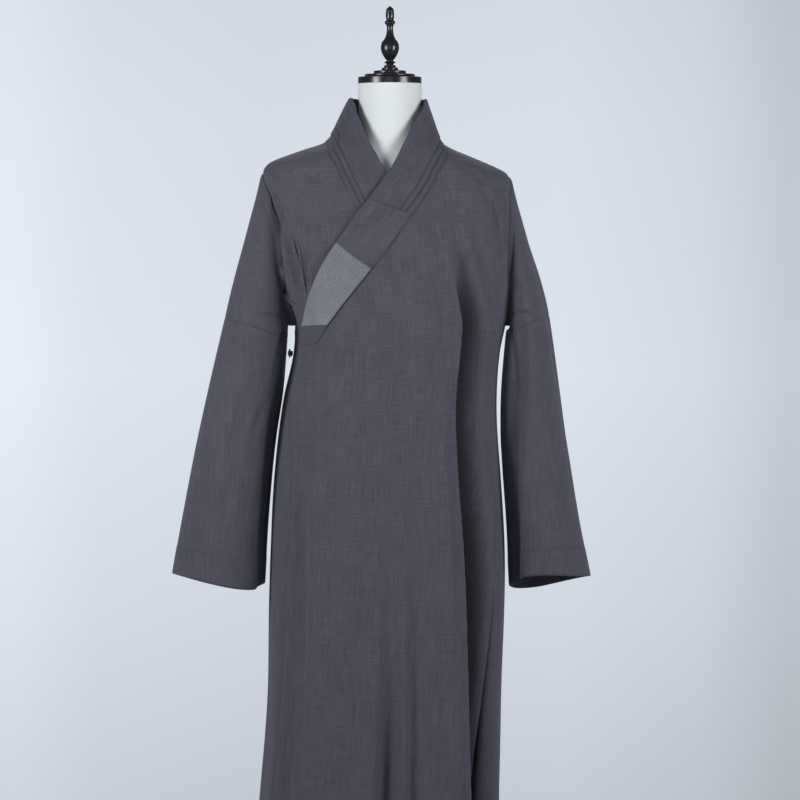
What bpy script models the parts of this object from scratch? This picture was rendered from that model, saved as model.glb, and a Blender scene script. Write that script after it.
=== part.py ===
"""Buddhist monk robe on a limbless dress form.

Metres, +Z up. The front of the robe faces -Y and the wearer's left is +X. The origin is
the centre of the stand's base, on the floor. The robe is lofted from level sections: a
point of its surface is given by a bearing round the body (0 = front, 90 = wearer's left,
180 = back) and a height above the floor. Layers are the same surface, moved out or in.
"""
import math

import bpy
from mathutils import Vector

OBJECT_NAME = "buddhist_monk_robe"

# ---- cloth and fit ------------------------------------------------------------------
WALL = 0.0016               # one panel of cloth
COLLAR_WALL = 0.0024        # the collar is folded double
OVERLAY_WALL = 0.0012       # collar guard and stitched patch
SEAM = 0.0003               # gap between two pieces that are sewn together
COLLAR_LIFT = 0.0004        # middle of the collar above the middle of the panels
UNDERLAP = (0.0042, 0.0070)  # how far inside the over front the under front lies: low, high
UNDERLAP_RUN = (8.0, 30.0)  # degrees it takes to get there: low down, and on the shoulder
UNDERLAP_RISE = (1.20, 1.35)  # heights between which that depth and run grow
OVERLAY_GAP = 0.0008
OVERLAY_LIFT = COLLAR_LIFT + (COLLAR_WALL + OVERLAY_WALL) / 2 + OVERLAY_GAP
SEAM_FRACTION = 1.024                                 # where the panels start, past its seam
BAND_FRACTIONS = (0.0, 0.28, 0.57, 0.85, 0.97, 1.0)   # across the collar, from its free edge
GUARD_FRACTIONS = BAND_FRACTIONS[:4]                  # the guard is narrower than the collar

HEM = 0.130                 # height of the hem above the floor
UNDERARM = 1.083
SLIT_TOP = 0.430            # side slit from here down to the hem
SLIT_GAP = 0.0022
SIDE_GAP = 0.0008           # at the side seams
SHOULDER_GAP = 0.0010       # where front and back meet at an angle, along the shoulders
SQUARENESS = 2.5            # 2 would make every section an ellipse

# ---- level sections of the robe: half widths and depths at each height ---------------
BODY_COLUMNS = ("height", "right", "left", "front", "back")
BODY = (
    (0.130, 0.2345, 0.1900, 0.172, 0.166),
    (0.2525, 0.2275, 0.1908, 0.166, 0.160),
    (0.4360, 0.2150, 0.1925, 0.157, 0.148),
    (0.6025, 0.2115, 0.1995, 0.148, 0.137),
    (0.6850, 0.2095, 0.1995, 0.144, 0.132),
    (0.8195, 0.2025, 0.1925, 0.138, 0.122),
    (0.9525, 0.1850, 0.1860, 0.133, 0.114),
    (1.0400, 0.1660, 0.1890, 0.130, 0.113),
    (1.0800, 0.1660, 0.1990, 0.128, 0.114),
    (1.1500, 0.1980, 0.2150, 0.124, 0.118),
    (1.2325, 0.2135, 0.2215, 0.117, 0.118),
    (1.3025, 0.2180, 0.2165, 0.105, 0.110),
    (1.3480, 0.2235, 0.2020, 0.093, 0.099),
    (1.3585, 0.2200, 0.1840, 0.090, 0.096),
    (1.3690, 0.2080, 0.1600, 0.087, 0.093),
    (1.3795, 0.1820, 0.1350, 0.084, 0.090),
    (1.3900, 0.1520, 0.1100, 0.081, 0.087),
    (1.4005, 0.1200, 0.0915, 0.078, 0.084),
    (1.4110, 0.1050, 0.0840, 0.074, 0.080),
    (1.4215, 0.0980, 0.0795, 0.0705, 0.0775),
    (1.4425, 0.0875, 0.0725, 0.0645, 0.0725),
    (1.4635, 0.0770, 0.0655, 0.0615, 0.0695),
    (1.4810, 0.0675, 0.0600, 0.0595, 0.0680),
)

# ---- the largest folds: troughs that run down the skirt (a ridge has a negative depth) --
FOLD_COLUMNS = ("bearing at top", "bearing at hem", "width before", "width after",
                "depth", "starts", "full")
FOLDS = (
    (47.0, 58.5, 8.0, 12.0, 0.044, 1.25, 0.80),
    (34.0, 46.5, 9.0, 7.0, -0.006, 1.20, 0.70),
    (70.0, 75.0, 8.0, 9.0, -0.004, 1.00, 0.60),
    (3.0, 6.0, 10.0, 16.0, 0.010, 0.80, 0.20),
    (18.0, 22.0, 8.0, 12.0, 0.007, 0.75, 0.20),
    (-14.0, -20.0, 12.0, 14.0, 0.006, 0.70, 0.18),
    (-57.0, -55.0, 12.0, 10.0, 0.013, 0.98, 0.70),
    (118.0, 112.0, 12.0, 14.0, 0.020, 0.95, 0.30),
    (148.0, 151.0, 12.0, 14.0, 0.018, 1.05, 0.30),
    (183.0, 180.0, 14.0, 12.0, 0.022, 0.98, 0.30),
    (212.0, 216.0, 12.0, 15.0, 0.017, 1.10, 0.30),
    (243.0, 248.0, 12.0, 12.0, 0.020, 0.92, 0.30),
)

# ---- collar line: where the neck edge of each front runs, from the side of the neck ----
LAPEL_COLUMNS = ("inner x", "inner height", "outer x", "outer height")
OVER_LAPEL = (
    (0.0555, 1.4610, 0.1000, 1.3790),
    (0.0440, 1.4380, 0.0905, 1.3570),
    (0.0255, 1.4025, 0.0765, 1.3285),
    (0.0000, 1.3533, 0.0590, 1.3015),
    (-0.0375, 1.3018, 0.0395, 1.2730),
    (-0.0640, 1.2680, 0.0077, 1.2259),
    (-0.0928, 1.2270, -0.0290, 1.1790),
    (-0.1175, 1.1870, -0.0600, 1.1400),
    (-0.1345, 1.1470, -0.0840, 1.1110),
    (-0.1460, 1.1110, -0.0980, 1.0930),
    (-0.1535, 1.0800, -0.1068, 1.0820),
    (-0.1600, 1.0420, -0.1230, 1.0520),
)
UNDER_LAPEL = (
    (-0.0640, 1.4630, -0.1075, 1.3840),
    (-0.0520, 1.4360, -0.0970, 1.3620),
    (-0.0330, 1.3980, -0.0850, 1.3350),
    (-0.0088, 1.3515, -0.0700, 1.3035),
    (0.0200, 1.3000, -0.0480, 1.2560),
    (0.0500, 1.2500, -0.0200, 1.1980),
    (0.0700, 1.2100, 0.0120, 1.1500),
)
NECK_SIDE_LEFT = (1.4785, 1.3988)      # collar top and neck seam at the wearer's left
NECK_BACK = (1.4800, 1.4100)
NECK_SIDE_RIGHT = (1.4810, 1.4040)
NECK_STATIONS = 12                     # steps of the collar from one side of the neck to the other
GUARD_ENDS = (-5, NECK_STATIONS + 5)   # stations of the collar where its guard ends
PATCH_ENDS = (-11, -7)                 # stations between which the stitched patch lies

# ---- armholes and sleeves ------------------------------------------------------------
ARMHOLE_HALF_DEPTH = 0.055
TIP_LEFT = 1.3450
TIP_RIGHT = 1.3500
EXTENSION_ROW = 5                      # the sleeve's extension is sewn on at this ring
SLEEVE_SEGMENTS = 20
SLEEVE_HALF_DEPTH = 0.075              # the half depth that the depths of its folds are given for
FOLD_ROWS = 3                          # rings over which a sleeve's fold grows to its full depth

SLEEVE_COLUMNS = ("outer x", "outer height", "inner x", "inner height", "half depth",
                  "back drop")
SLEEVE_LEFT = (
    (0.1985, 1.3415, 0.1940, 1.0950, 0.0490, 0.000),
    (0.2090, 1.3300, 0.2060, 1.0895, 0.0500, 0.000),
    (0.2255, 1.2850, 0.2090, 1.0820, 0.0600, 0.000),
    (0.2433, 1.2220, 0.2090, 1.0760, 0.0680, 0.000),
    (0.2625, 1.1625, 0.2080, 1.0710, 0.0750, 0.000),
    (0.2775, 1.1000, 0.2060, 1.0660, 0.0790, 0.000),
    (0.2940, 0.9875, 0.1965, 0.9750, 0.0820, 0.000),
    (0.3055, 0.9050, 0.1945, 0.8900, 0.0830, 0.000),
    (0.3145, 0.8475, 0.1985, 0.8200, 0.0840, 0.002),
    (0.3310, 0.7425, 0.2050, 0.7250, 0.0840, 0.006),
    (0.3500, 0.6445, 0.2090, 0.6300, 0.0820, 0.015),
)
SLEEVE_RIGHT = (
    (0.2165, 1.3465, 0.1640, 1.0950, 0.0490, 0.000),
    (0.2240, 1.3370, 0.1740, 1.0895, 0.0500, 0.000),
    (0.2365, 1.2980, 0.1780, 1.0820, 0.0600, 0.000),
    (0.2555, 1.2255, 0.1790, 1.0760, 0.0680, 0.000),
    (0.2740, 1.1550, 0.1795, 1.0700, 0.0750, 0.000),
    (0.2880, 1.0960, 0.1800, 1.0600, 0.0790, 0.000),
    (0.3140, 0.9875, 0.1870, 0.9750, 0.0820, 0.000),
    (0.3340, 0.9000, 0.1995, 0.8900, 0.0830, 0.000),
    (0.3448, 0.8475, 0.2070, 0.8200, 0.0840, -0.002),
    (0.3640, 0.7425, 0.2145, 0.7250, 0.0840, -0.006),
    (0.3798, 0.6498, 0.2185, 0.6300, 0.0820, -0.016),
)
# troughs of the sleeves; angle 0 is a sleeve's outer edge and -90 its front
SLEEVE_FOLD_COLUMNS = ("angle at first ring", "angle at cuff", "half width", "depth",
                       "first ring")
SLEEVE_FOLDS_LEFT = ((-95.0, -160.0, 26.0, 0.016, 4), (70.0, 100.0, 30.0, 0.010, 5))
SLEEVE_FOLDS_RIGHT = ((-140.0, -165.0, 26.0, 0.010, 4), (80.0, 110.0, 30.0, 0.012, 5))

# ---- knot button at the wearer's right side -------------------------------------------
KNOT_HEIGHT = 1.0330
KNOT_BEARING = -83.0
KNOT_RADIUS = 0.0045
KNOT_LIFT = 0.0072
LOOP_RADIUS = 0.0014

# ---- dress form: half width, front and back depth at each height ----------------------
FORM_COLUMNS = ("height", "half width", "front", "back")
FORM = (
    (0.8000, 0.118, 0.080, 0.082),
    (0.8080, 0.136, 0.093, 0.096),
    (0.8300, 0.147, 0.100, 0.104),
    (0.8700, 0.151, 0.102, 0.106),
    (0.9400, 0.144, 0.098, 0.099),
    (1.0100, 0.138, 0.096, 0.093),
    (1.0800, 0.146, 0.100, 0.094),
    (1.1500, 0.157, 0.104, 0.097),
    (1.2150, 0.165, 0.102, 0.098),
    (1.2700, 0.171, 0.096, 0.096),
    (1.3100, 0.172, 0.088, 0.090),
    (1.3360, 0.163, 0.080, 0.083),
    (1.3540, 0.143, 0.074, 0.077),
    (1.3680, 0.115, 0.069, 0.072),
    (1.3820, 0.087, 0.064, 0.067),
    (1.4000, 0.067, 0.0595, 0.0610),
    (1.4250, 0.0585, 0.0565, 0.0575),
    (1.4600, 0.0558, 0.0555, 0.0558),
    (1.5060, 0.0555, 0.0552, 0.0555),
)
FORM_SEGMENTS = 32

# ---- turned pieces: radius and height down the outer side -------------------------------
CAP_PROFILE = (
    (0.0560, 1.5063),
    (0.0560, 1.5175),
    (0.0445, 1.5190),
    (0.0445, 1.5225),
    (0.0285, 1.5235),
    (0.0285, 1.5285),
    (0.0145, 1.5295),
    (0.0145, 1.5340),
)
FINIAL_PROFILE = (
    (0.0100, 1.5343),
    (0.0105, 1.5375),
    (0.0060, 1.5398),
    (0.0103, 1.5432),
    (0.0060, 1.5462),
    (0.0085, 1.5495),
    (0.0130, 1.5570),
    (0.0158, 1.5650),
    (0.0160, 1.5725),
    (0.0140, 1.5790),
    (0.0095, 1.5850),
    (0.0066, 1.5930),
    (0.0064, 1.6080),
    (0.0096, 1.6130),
    (0.0064, 1.6180),
    (0.0072, 1.6210),
    (0.0072, 1.6310),
    (0.0060, 1.6370),
    (0.0000, 1.6420),
)
BASE_RADIUS = 0.175
BASE_PROFILE = (
    (BASE_RADIUS, 0.0000),
    (BASE_RADIUS, 0.0060),
    (BASE_RADIUS - 0.006, 0.0100),
    (0.0300, 0.0160),
    (0.0220, 0.0300),
    (0.0000, 0.0300),
)
POLE_RADIUS = 0.0125
POLE_BOTTOM = 0.0303
SOCKET_RADIUS = 0.0280
SOCKET_HEIGHT = 0.0300
FORM_BOTTOM = FORM[0][0]


# ---- reading the tables ---------------------------------------------------------------
def between(table, key):
    """Read every column of a table at a height (its first column), on smooth curves."""
    rows = table if table[0][0] < table[-1][0] else tuple(reversed(table))
    key = min(max(key, rows[0][0]), rows[-1][0])
    low = 0
    while low < len(rows) - 2 and rows[low + 1][0] < key:
        low += 1
    before = rows[max(low - 1, 0)]
    first = rows[low]
    second = rows[low + 1]
    after = rows[min(low + 2, len(rows) - 1)]
    span = second[0] - first[0]
    t = (key - first[0]) / span
    values = []
    for column in range(1, len(first)):
        chord = (second[column] - first[column]) / span
        slope_in = chord
        slope_out = chord
        if before is not first:
            slope_in = (chord + (first[column] - before[column]) / (first[0] - before[0])) / 2
        if after is not second:
            slope_out = (chord + (after[column] - second[column]) / (after[0] - second[0])) / 2
        values.append(
            (2 * t**3 - 3 * t**2 + 1) * first[column]
            + (t**3 - 2 * t**2 + t) * span * slope_in
            + (3 * t**2 - 2 * t**3) * second[column]
            + (t**3 - t**2) * span * slope_out)
    return values


def smoothstep(t):
    t = min(max(t, 0.0), 1.0)
    return t * t * (3 - 2 * t)


def mix(a, b, t):
    return a + (b - a) * t


def hump(distance, before, after):
    """1 on the line of a fold, falling smoothly to 0 at its two widths."""
    width = before if distance < 0 else after
    if abs(distance) >= width:
        return 0.0
    return (1 - (distance / width) ** 2) ** 2


# ---- the robe's surface ---------------------------------------------------------------
def fold_depth(bearing, height):
    total = 0.0
    for top, hem, before, after, depth, starts, full in FOLDS:
        if height >= starts:
            continue
        line = mix(hem, top, (height - HEM) / (starts - HEM))
        distance = (bearing - line + 180) % 360 - 180
        total += depth * hump(distance, before, after) * smoothstep((starts - height) / (starts - full))
    return total


def section_point(bearing, height):
    right, left, front, back = between(BODY, height)
    angle = math.radians(bearing)
    across = math.sin(angle)
    ahead = math.cos(angle)
    half = (right + left) / 2
    depth = front if ahead > 0 else back
    squared = (abs(across) / half) ** SQUARENESS + (abs(ahead) / depth) ** SQUARENESS
    radius = squared ** (-1 / SQUARENESS) - fold_depth(bearing, height)
    return Vector(((left - right) / 2 + radius * across, -radius * ahead, height))


def robe_point(bearing, height, lift=0.0):
    """A point of the robe's surface, moved out along the surface's normal by lift."""
    point = section_point(bearing, height)
    if lift == 0.0:
        return point
    step = 0.0015
    around = section_point(bearing + 0.4, height) - section_point(bearing - 0.4, height)
    up = section_point(bearing, height + step) - section_point(bearing, height - step)
    return point + around.cross(up).normalized() * lift


def bearing_of(x, height):
    """Bearing at which the front half of a section passes through x."""
    low = -90.0
    high = 90.0
    for _ in range(30):
        middle = (low + high) / 2
        if section_point(middle, height).x < x:
            low = middle
        else:
            high = middle
    return (low + high) / 2


# ---- edges of the panels ---------------------------------------------------------------
def armhole_inset(height, tip):
    """How far the armhole's edge is from the side line at a height, in metres."""
    if not UNDERARM < height < tip:
        return 0.0
    centre = (tip + UNDERARM) / 2
    reach = (tip - UNDERARM) / 2
    return ARMHOLE_HALF_DEPTH * math.sqrt(1 - ((height - centre) / reach) ** 2)


def armhole_bearing(height, side, face):
    """Bearing of the armhole's edge: side is 90 or -90, face is front (1) or back (-1)."""
    tip = TIP_LEFT if side > 0 else TIP_RIGHT
    wanted = armhole_inset(height, tip)
    near = float(side)
    far = side * (1 - face * 0.5)
    for _ in range(24):
        middle = (near + far) / 2
        if abs(section_point(middle, height).y) < wanted:
            near = middle
        else:
            far = middle
    return (near + far) / 2


EDGE_COLUMNS = ("height", "bearing")
SEAM_LINE_LEFT = ((HEM, 64.0), (0.60, 66.0), (0.80, 70.0), (0.95, 79.0), (UNDERARM, 90.0))
FREE_EDGE = ((HEM, -63.0), (0.60, -63.0), (0.90, -64.0), (0.98, -69.0))


def seam_degrees(height):
    """Half of the gap at a side or shoulder seam, as degrees of bearing."""
    gap = SIDE_GAP
    if height < SLIT_TOP:
        gap = SLIT_GAP
    if height > UNDERARM:
        gap = SHOULDER_GAP
    right, left, _, _ = between(BODY, height)
    return math.degrees(gap / (right + left))


def left_edge(height, face):
    """Edge of a panel along the wearer's left: seam, armhole, then the shoulder."""
    if height > UNDERARM:
        return armhole_bearing(height, 90, face) - face * seam_degrees(height)
    return between(SEAM_LINE_LEFT, height)[0] - face * seam_degrees(height)


def right_edge(height, face):
    if height > UNDERARM:
        return armhole_bearing(height, -90, face) + face * seam_degrees(height)
    return -90.0 + face * seam_degrees(height)


def under_lift(bearing, height):
    """The under front leaves the surface at the side seam and runs inside the over front."""
    low, high = UNDERLAP_RISE
    run = mix(*UNDERLAP_RUN, smoothstep((height - low) / (high - low)))
    depth = mix(*UNDERLAP, smoothstep((height - low) / (high - low)))
    return -depth * smoothstep((bearing + 90) / run)


# ---- the collar line -------------------------------------------------------------------
def collar_table():
    """Station, then bearing and height of the collar's free edge and of its seam.

    Station 0 is the wearer's left side of the neck and NECK_STATIONS its right side. The
    over lapel has the stations below 0 and the under lapel those past NECK_STATIONS.
    """
    rows = []
    for index, (inner_x, inner_z, outer_x, outer_z) in enumerate(OVER_LAPEL):
        rows.append((-1 - index, bearing_of(inner_x, inner_z), inner_z,
                     bearing_of(outer_x, outer_z), outer_z))
    rows.reverse()
    for station in range(0, NECK_STATIONS + 1, 2):
        t = station / NECK_STATIONS
        bearing = mix(90, 270, t)
        rise = math.sin(math.pi * t) ** 2
        top = mix(mix(NECK_SIDE_LEFT[0], NECK_SIDE_RIGHT[0], t), NECK_BACK[0], rise)
        seam = mix(mix(NECK_SIDE_LEFT[1], NECK_SIDE_RIGHT[1], t), NECK_BACK[1], rise)
        rows.append((station, bearing, top, bearing, seam))
    for index, (inner_x, inner_z, outer_x, outer_z) in enumerate(UNDER_LAPEL):
        rows.append((NECK_STATIONS + 1 + index, bearing_of(inner_x, inner_z) + 360, inner_z,
                     bearing_of(outer_x, outer_z) + 360, outer_z))
    return rows


def lapel_steps(rows):
    """Station offsets along a lapel, closer together beside the neck."""
    return [i / 8 for i in range(9)] + [1.33, 1.67, 2.0, 2.5] + list(range(3, rows + 1))


def seam_points(table, stations, turn=0.0):
    """Bearing and height along the neck seam of a panel, just past the collar's edge."""
    points = []
    for station in stations:
        inner_bearing, inner_height, bearing, height = between(table, station)
        points.append((mix(inner_bearing, bearing, SEAM_FRACTION) - turn,
                       mix(inner_height, height, SEAM_FRACTION)))
    return points


def band_end(table, station):
    """Points along the end of the collar's band, from its free edge to its seam."""
    inner_bearing, inner_height, bearing, height = between(table, station)
    return [(mix(inner_bearing, bearing, t), mix(inner_height, height, t) - 2 * SEAM)
            for t in BAND_FRACTIONS[:-1]]


# ---- meshes ---------------------------------------------------------------------------
def clear_scene():
    for item in list(bpy.data.objects):
        bpy.data.objects.remove(item, do_unlink=True)


def make_material(name, colour, roughness, metallic=0.0):
    material = bpy.data.materials.new(name)
    material.use_nodes = True
    shader = material.node_tree.nodes["Principled BSDF"]
    shader.inputs["Base Color"].default_value = (*colour, 1.0)
    shader.inputs["Roughness"].default_value = roughness
    shader.inputs["Metallic"].default_value = metallic
    material.diffuse_color = (*colour, 1.0)
    return material


def add_object(name, mesh, material, collection):
    item = bpy.data.objects.new(name, mesh)
    mesh.materials.append(material)
    mesh.shade_smooth()
    collection.objects.link(item)
    return item


def cloth_from_rows(name, rows, wall, material, collection, closed=False):
    """Loft rows of points into an open surface and give it the cloth's wall."""
    width = len(rows[0])
    verts = [point for row in rows for point in row]
    faces = []
    for r in range(len(rows) - 1):
        for c in range(width if closed else width - 1):
            here = r * width + c
            beside = r * width + (c + 1) % width
            faces.append((here, beside, beside + width, here + width))
    mesh = bpy.data.meshes.new(name)
    mesh.from_pydata(verts, [], faces)
    item = add_object(name, mesh, material, collection)
    wall_maker = item.modifiers.new("wall", "SOLIDIFY")
    wall_maker.thickness = wall
    wall_maker.offset = 0.0
    wall_maker.use_even_offset = False
    return item


def steps(count, crowd=1.0):
    """Values from 0 to 1; crowd above 1 crowds them towards 1."""
    return [1 - (1 - i / count) ** crowd for i in range(count + 1)]


def panel_rows(first_edge, last_edge, seam, lift, heights):
    """Rows of a panel from its hem up to its neck seam.

    The edges give a bearing for a height, seam lists bearing and height along the neck,
    and heights are those of the rows along the side that reaches the shoulder.
    """
    first_top = seam[0][1]
    last_top = seam[-1][1]
    turn = seam[-1][0] - seam[0][0]
    shoulder_top = heights[-1]
    rows = []
    for shoulder_height in heights:
        v = (shoulder_height - HEM) / (shoulder_top - HEM)
        first = first_edge(mix(HEM, first_top, v))
        last = last_edge(mix(HEM, last_top, v))
        row = []
        for top_bearing, top_height in seam:
            bearing = mix(first, last, (top_bearing - seam[0][0]) / turn)
            height = mix(HEM, top_height, v)
            row.append(robe_point(bearing, height, lift(bearing, height)))
        rows.append(row)
    return rows


def shoulder_heights(top):
    """Row heights: wide apart in the skirt, close round the armhole and on the shoulder."""
    skirt = [mix(HEM, UNDERARM, t) for t in steps(9, 1.25)]
    armhole = [mix(UNDERARM, TIP_LEFT, t) for t in (0.05, 0.18, 0.38, 0.60, 0.80, 0.93, 1.0)]
    shoulder = [mix(TIP_LEFT, top, t) for t in (0.25, 0.50, 0.75, 1.0)]
    return skirt + armhole + shoulder


# ---- panels ---------------------------------------------------------------------------
def build_front_over(table, material, collection):
    stations = [-step for step in reversed(lapel_steps(len(OVER_LAPEL)))]
    seam = band_end(table, stations[0]) + seam_points(table, stations)
    free_edge = FREE_EDGE + ((seam[0][1], seam[0][0]),)
    rows = panel_rows(
        lambda height: between(free_edge, height)[0],
        lambda height: left_edge(height, 1),
        seam, lambda bearing, height: 0.0, shoulder_heights(seam[-1][1]))
    return cloth_from_rows("front_over", rows, WALL, material, collection)


def build_front_under(table, material, collection):
    stations = [NECK_STATIONS + step for step in lapel_steps(len(UNDER_LAPEL))]
    seam = seam_points(table, stations, 360.0)
    rows = panel_rows(
        lambda height: right_edge(height, 1),
        lambda height: seam[-1][0],
        seam, under_lift, shoulder_heights(seam[0][1]))
    return cloth_from_rows("front_under", rows, WALL, material, collection)


def build_back(table, material, collection):
    stations = [i / 2 for i in range(2 * NECK_STATIONS + 1)]
    seam = seam_points(table, stations)
    rows = panel_rows(
        lambda height: left_edge(height, -1),
        lambda height: right_edge(height, -1) + 360,
        seam, lambda bearing, height: 0.0, shoulder_heights(seam[0][1]))
    return cloth_from_rows("back", rows, WALL, material, collection)


# ---- sleeves --------------------------------------------------------------------------
def sleeve_rings(table, folds, mirror):
    rings = []
    for index, (outer_x, outer_z, inner_x, inner_z, half_depth, drop) in enumerate(table):
        outer = Vector((outer_x * mirror, 0, outer_z))
        inner = Vector((inner_x * mirror, 0, inner_z))
        centre = (outer + inner) / 2
        reach = (outer - inner) / 2
        ring = []
        for i in range(SLEEVE_SEGMENTS):
            degrees = i * 360 / SLEEVE_SEGMENTS
            angle = math.radians(degrees)
            press = 1.0
            for first, last, width, depth, start in folds:
                if index <= start:
                    continue
                grown = smoothstep((index - start) / FOLD_ROWS)
                line = mix(first, last, (index - start) / (len(table) - 1 - start))
                distance = (degrees - line + 180) % 360 - 180
                press -= depth / SLEEVE_HALF_DEPTH * grown * hump(distance, width, width)
            tilt = -drop * math.sin(angle) * (1.3 - math.cos(angle)) / 2
            point = centre + reach * (math.cos(angle) * press)
            point += Vector((0, half_depth * math.sin(angle) * press, tilt))
            ring.append(point)
        rings.append(ring if mirror < 0 else list(reversed(ring)))
    return rings


def build_sleeve(side, table, folds, mirror, material, collection):
    rings = sleeve_rings(table, folds, mirror)
    lower = rings[EXTENSION_ROW:]
    step = (rings[EXTENSION_ROW + 1][0] - rings[EXTENSION_ROW][0]).normalized() * SEAM
    lower[0] = [point + step for point in lower[0]]
    upper = cloth_from_rows(f"sleeve_{side}_upper", rings[:EXTENSION_ROW + 1], WALL,
                            material, collection, closed=True)
    extension = cloth_from_rows(f"sleeve_{side}_extension", lower, WALL,
                                material, collection, closed=True)
    return upper, extension


# ---- collar, collar guard and patch ----------------------------------------------------
def band_rows(table, stations, fractions, lift):
    """Rows across the collar at fractions of its width, 0 at its free edge."""
    rows = []
    for station in stations:
        inner_bearing, inner_height, bearing, height = between(table, station)
        sunk = under_lift(bearing - 360, height) if station > NECK_STATIONS else 0.0
        row = []
        for t in fractions:
            row.append(robe_point(mix(inner_bearing, bearing, t), mix(inner_height, height, t),
                                  sunk + lift))
        rows.append(row)
    return rows


def build_collar(table, materials, collection):
    over = [-step for step in reversed(lapel_steps(len(OVER_LAPEL)))]
    neck = [i / 2 for i in range(1, 2 * NECK_STATIONS)]
    under = [NECK_STATIONS + step for step in lapel_steps(len(UNDER_LAPEL))]
    whole = over + neck + under
    cloth_from_rows("collar", band_rows(table, whole, BAND_FRACTIONS, COLLAR_LIFT), COLLAR_WALL,
                    materials["robe"], collection)
    guard = [s for s in whole if GUARD_ENDS[0] <= s <= GUARD_ENDS[1]]
    cloth_from_rows("collar_guard", band_rows(table, guard, GUARD_FRACTIONS, OVERLAY_LIFT),
                    OVERLAY_WALL, materials["robe"], collection)
    patch = [s for s in whole if PATCH_ENDS[0] <= s <= PATCH_ENDS[1]]
    cloth_from_rows("stitched_patch", band_rows(table, patch, BAND_FRACTIONS[:-1], OVERLAY_LIFT),
                    OVERLAY_WALL, materials["patch"], collection)


# ---- knot button and its loop -----------------------------------------------------------
def build_knot(material, collection):
    centre = robe_point(KNOT_BEARING, KNOT_HEIGHT, KNOT_LIFT)
    bpy.ops.mesh.primitive_uv_sphere_add(
        segments=16, ring_count=8, radius=KNOT_RADIUS, location=centre)
    knot = bpy.context.active_object
    knot.name = "knot_button"
    knot.data.materials.append(material)
    knot.data.shade_smooth()
    for owner in list(knot.users_collection):
        owner.objects.unlink(knot)
    collection.objects.link(knot)
    curve = bpy.data.curves.new("button_loop", "CURVE")
    curve.dimensions = "3D"
    curve.bevel_depth = LOOP_RADIUS
    curve.bevel_resolution = 2
    curve.use_fill_caps = True
    spline = curve.splines.new("POLY")
    count = 13
    spline.points.add(count - 1)
    for i in range(count):
        angle = math.radians(mix(-60, 240, i / (count - 1)))
        reach = KNOT_RADIUS + LOOP_RADIUS + SEAM
        offset = Vector((0, math.cos(angle) * reach, math.sin(angle) * reach))
        spline.points[i].co = (*(centre + offset), 1)
    loop = bpy.data.objects.new("button_loop", curve)
    curve.materials.append(material)
    collection.objects.link(loop)


# ---- dress form and stand ---------------------------------------------------------------
def build_form(material, collection):
    heights = [row[0] for row in FORM]
    levels = []
    for low, high in zip(heights, heights[1:]):
        levels += [low, (low + high) / 2]
    levels.append(heights[-1])
    verts = []
    for height in levels:
        half, front, back = between(FORM, height)
        for i in range(FORM_SEGMENTS):
            angle = math.tau * i / FORM_SEGMENTS
            depth = front if math.cos(angle) > 0 else back
            radius = 1 / math.hypot(math.sin(angle) / half, math.cos(angle) / depth)
            verts.append((radius * math.sin(angle), -radius * math.cos(angle), height))
    faces = []
    for r in range(len(levels) - 1):
        for c in range(FORM_SEGMENTS):
            here = r * FORM_SEGMENTS + c
            beside = r * FORM_SEGMENTS + (c + 1) % FORM_SEGMENTS
            faces.append((here, beside, beside + FORM_SEGMENTS, here + FORM_SEGMENTS))
    top = (len(levels) - 1) * FORM_SEGMENTS
    faces.append(tuple(range(FORM_SEGMENTS - 1, -1, -1)))
    faces.append(tuple(range(top, top + FORM_SEGMENTS)))
    mesh = bpy.data.meshes.new("form_torso")
    mesh.from_pydata(verts, [], faces)
    add_object("form_torso", mesh, material, collection)


def build_turned(name, profile, material, collection, segments=40):
    """Turn a profile, given from the bottom up, about the Z axis."""
    points = list(profile)
    if points[0][0] > 0:
        points.insert(0, (0.0, points[0][1]))
    if points[-1][0] > 0:
        points.append((0.0, points[-1][1]))
    points.reverse()
    mesh = bpy.data.meshes.new(name)
    verts = [(radius, 0, height) for radius, height in points]
    mesh.from_pydata(verts, [(i, i + 1) for i in range(len(verts) - 1)], [])
    item = add_object(name, mesh, material, collection)
    screw = item.modifiers.new("turn", "SCREW")
    screw.steps = segments
    screw.render_steps = segments
    screw.use_merge_vertices = True
    screw.merge_threshold = 0.00005
    return item


def build_rod(name, radius, bottom, top, material, collection):
    bpy.ops.mesh.primitive_cylinder_add(
        vertices=32, radius=radius, depth=top - bottom, location=(0, 0, (top + bottom) / 2))
    rod = bpy.context.active_object
    rod.name = name
    rod.data.materials.append(material)
    rod.data.shade_smooth()
    for owner in list(rod.users_collection):
        owner.objects.unlink(rod)
    collection.objects.link(rod)


def build_stand(materials, collection):
    build_turned("base", BASE_PROFILE, materials["stand"], collection, 48)
    socket_bottom = FORM_BOTTOM - SEAM - SOCKET_HEIGHT
    build_rod("pole", POLE_RADIUS, POLE_BOTTOM, socket_bottom - SEAM, materials["stand"], collection)
    build_rod("form_socket", SOCKET_RADIUS, socket_bottom, FORM_BOTTOM - SEAM,
              materials["stand"], collection)
    build_turned("neck_cap", CAP_PROFILE, materials["lacquer"], collection)
    build_turned("finial", FINIAL_PROFILE, materials["lacquer"], collection, 20)


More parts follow.
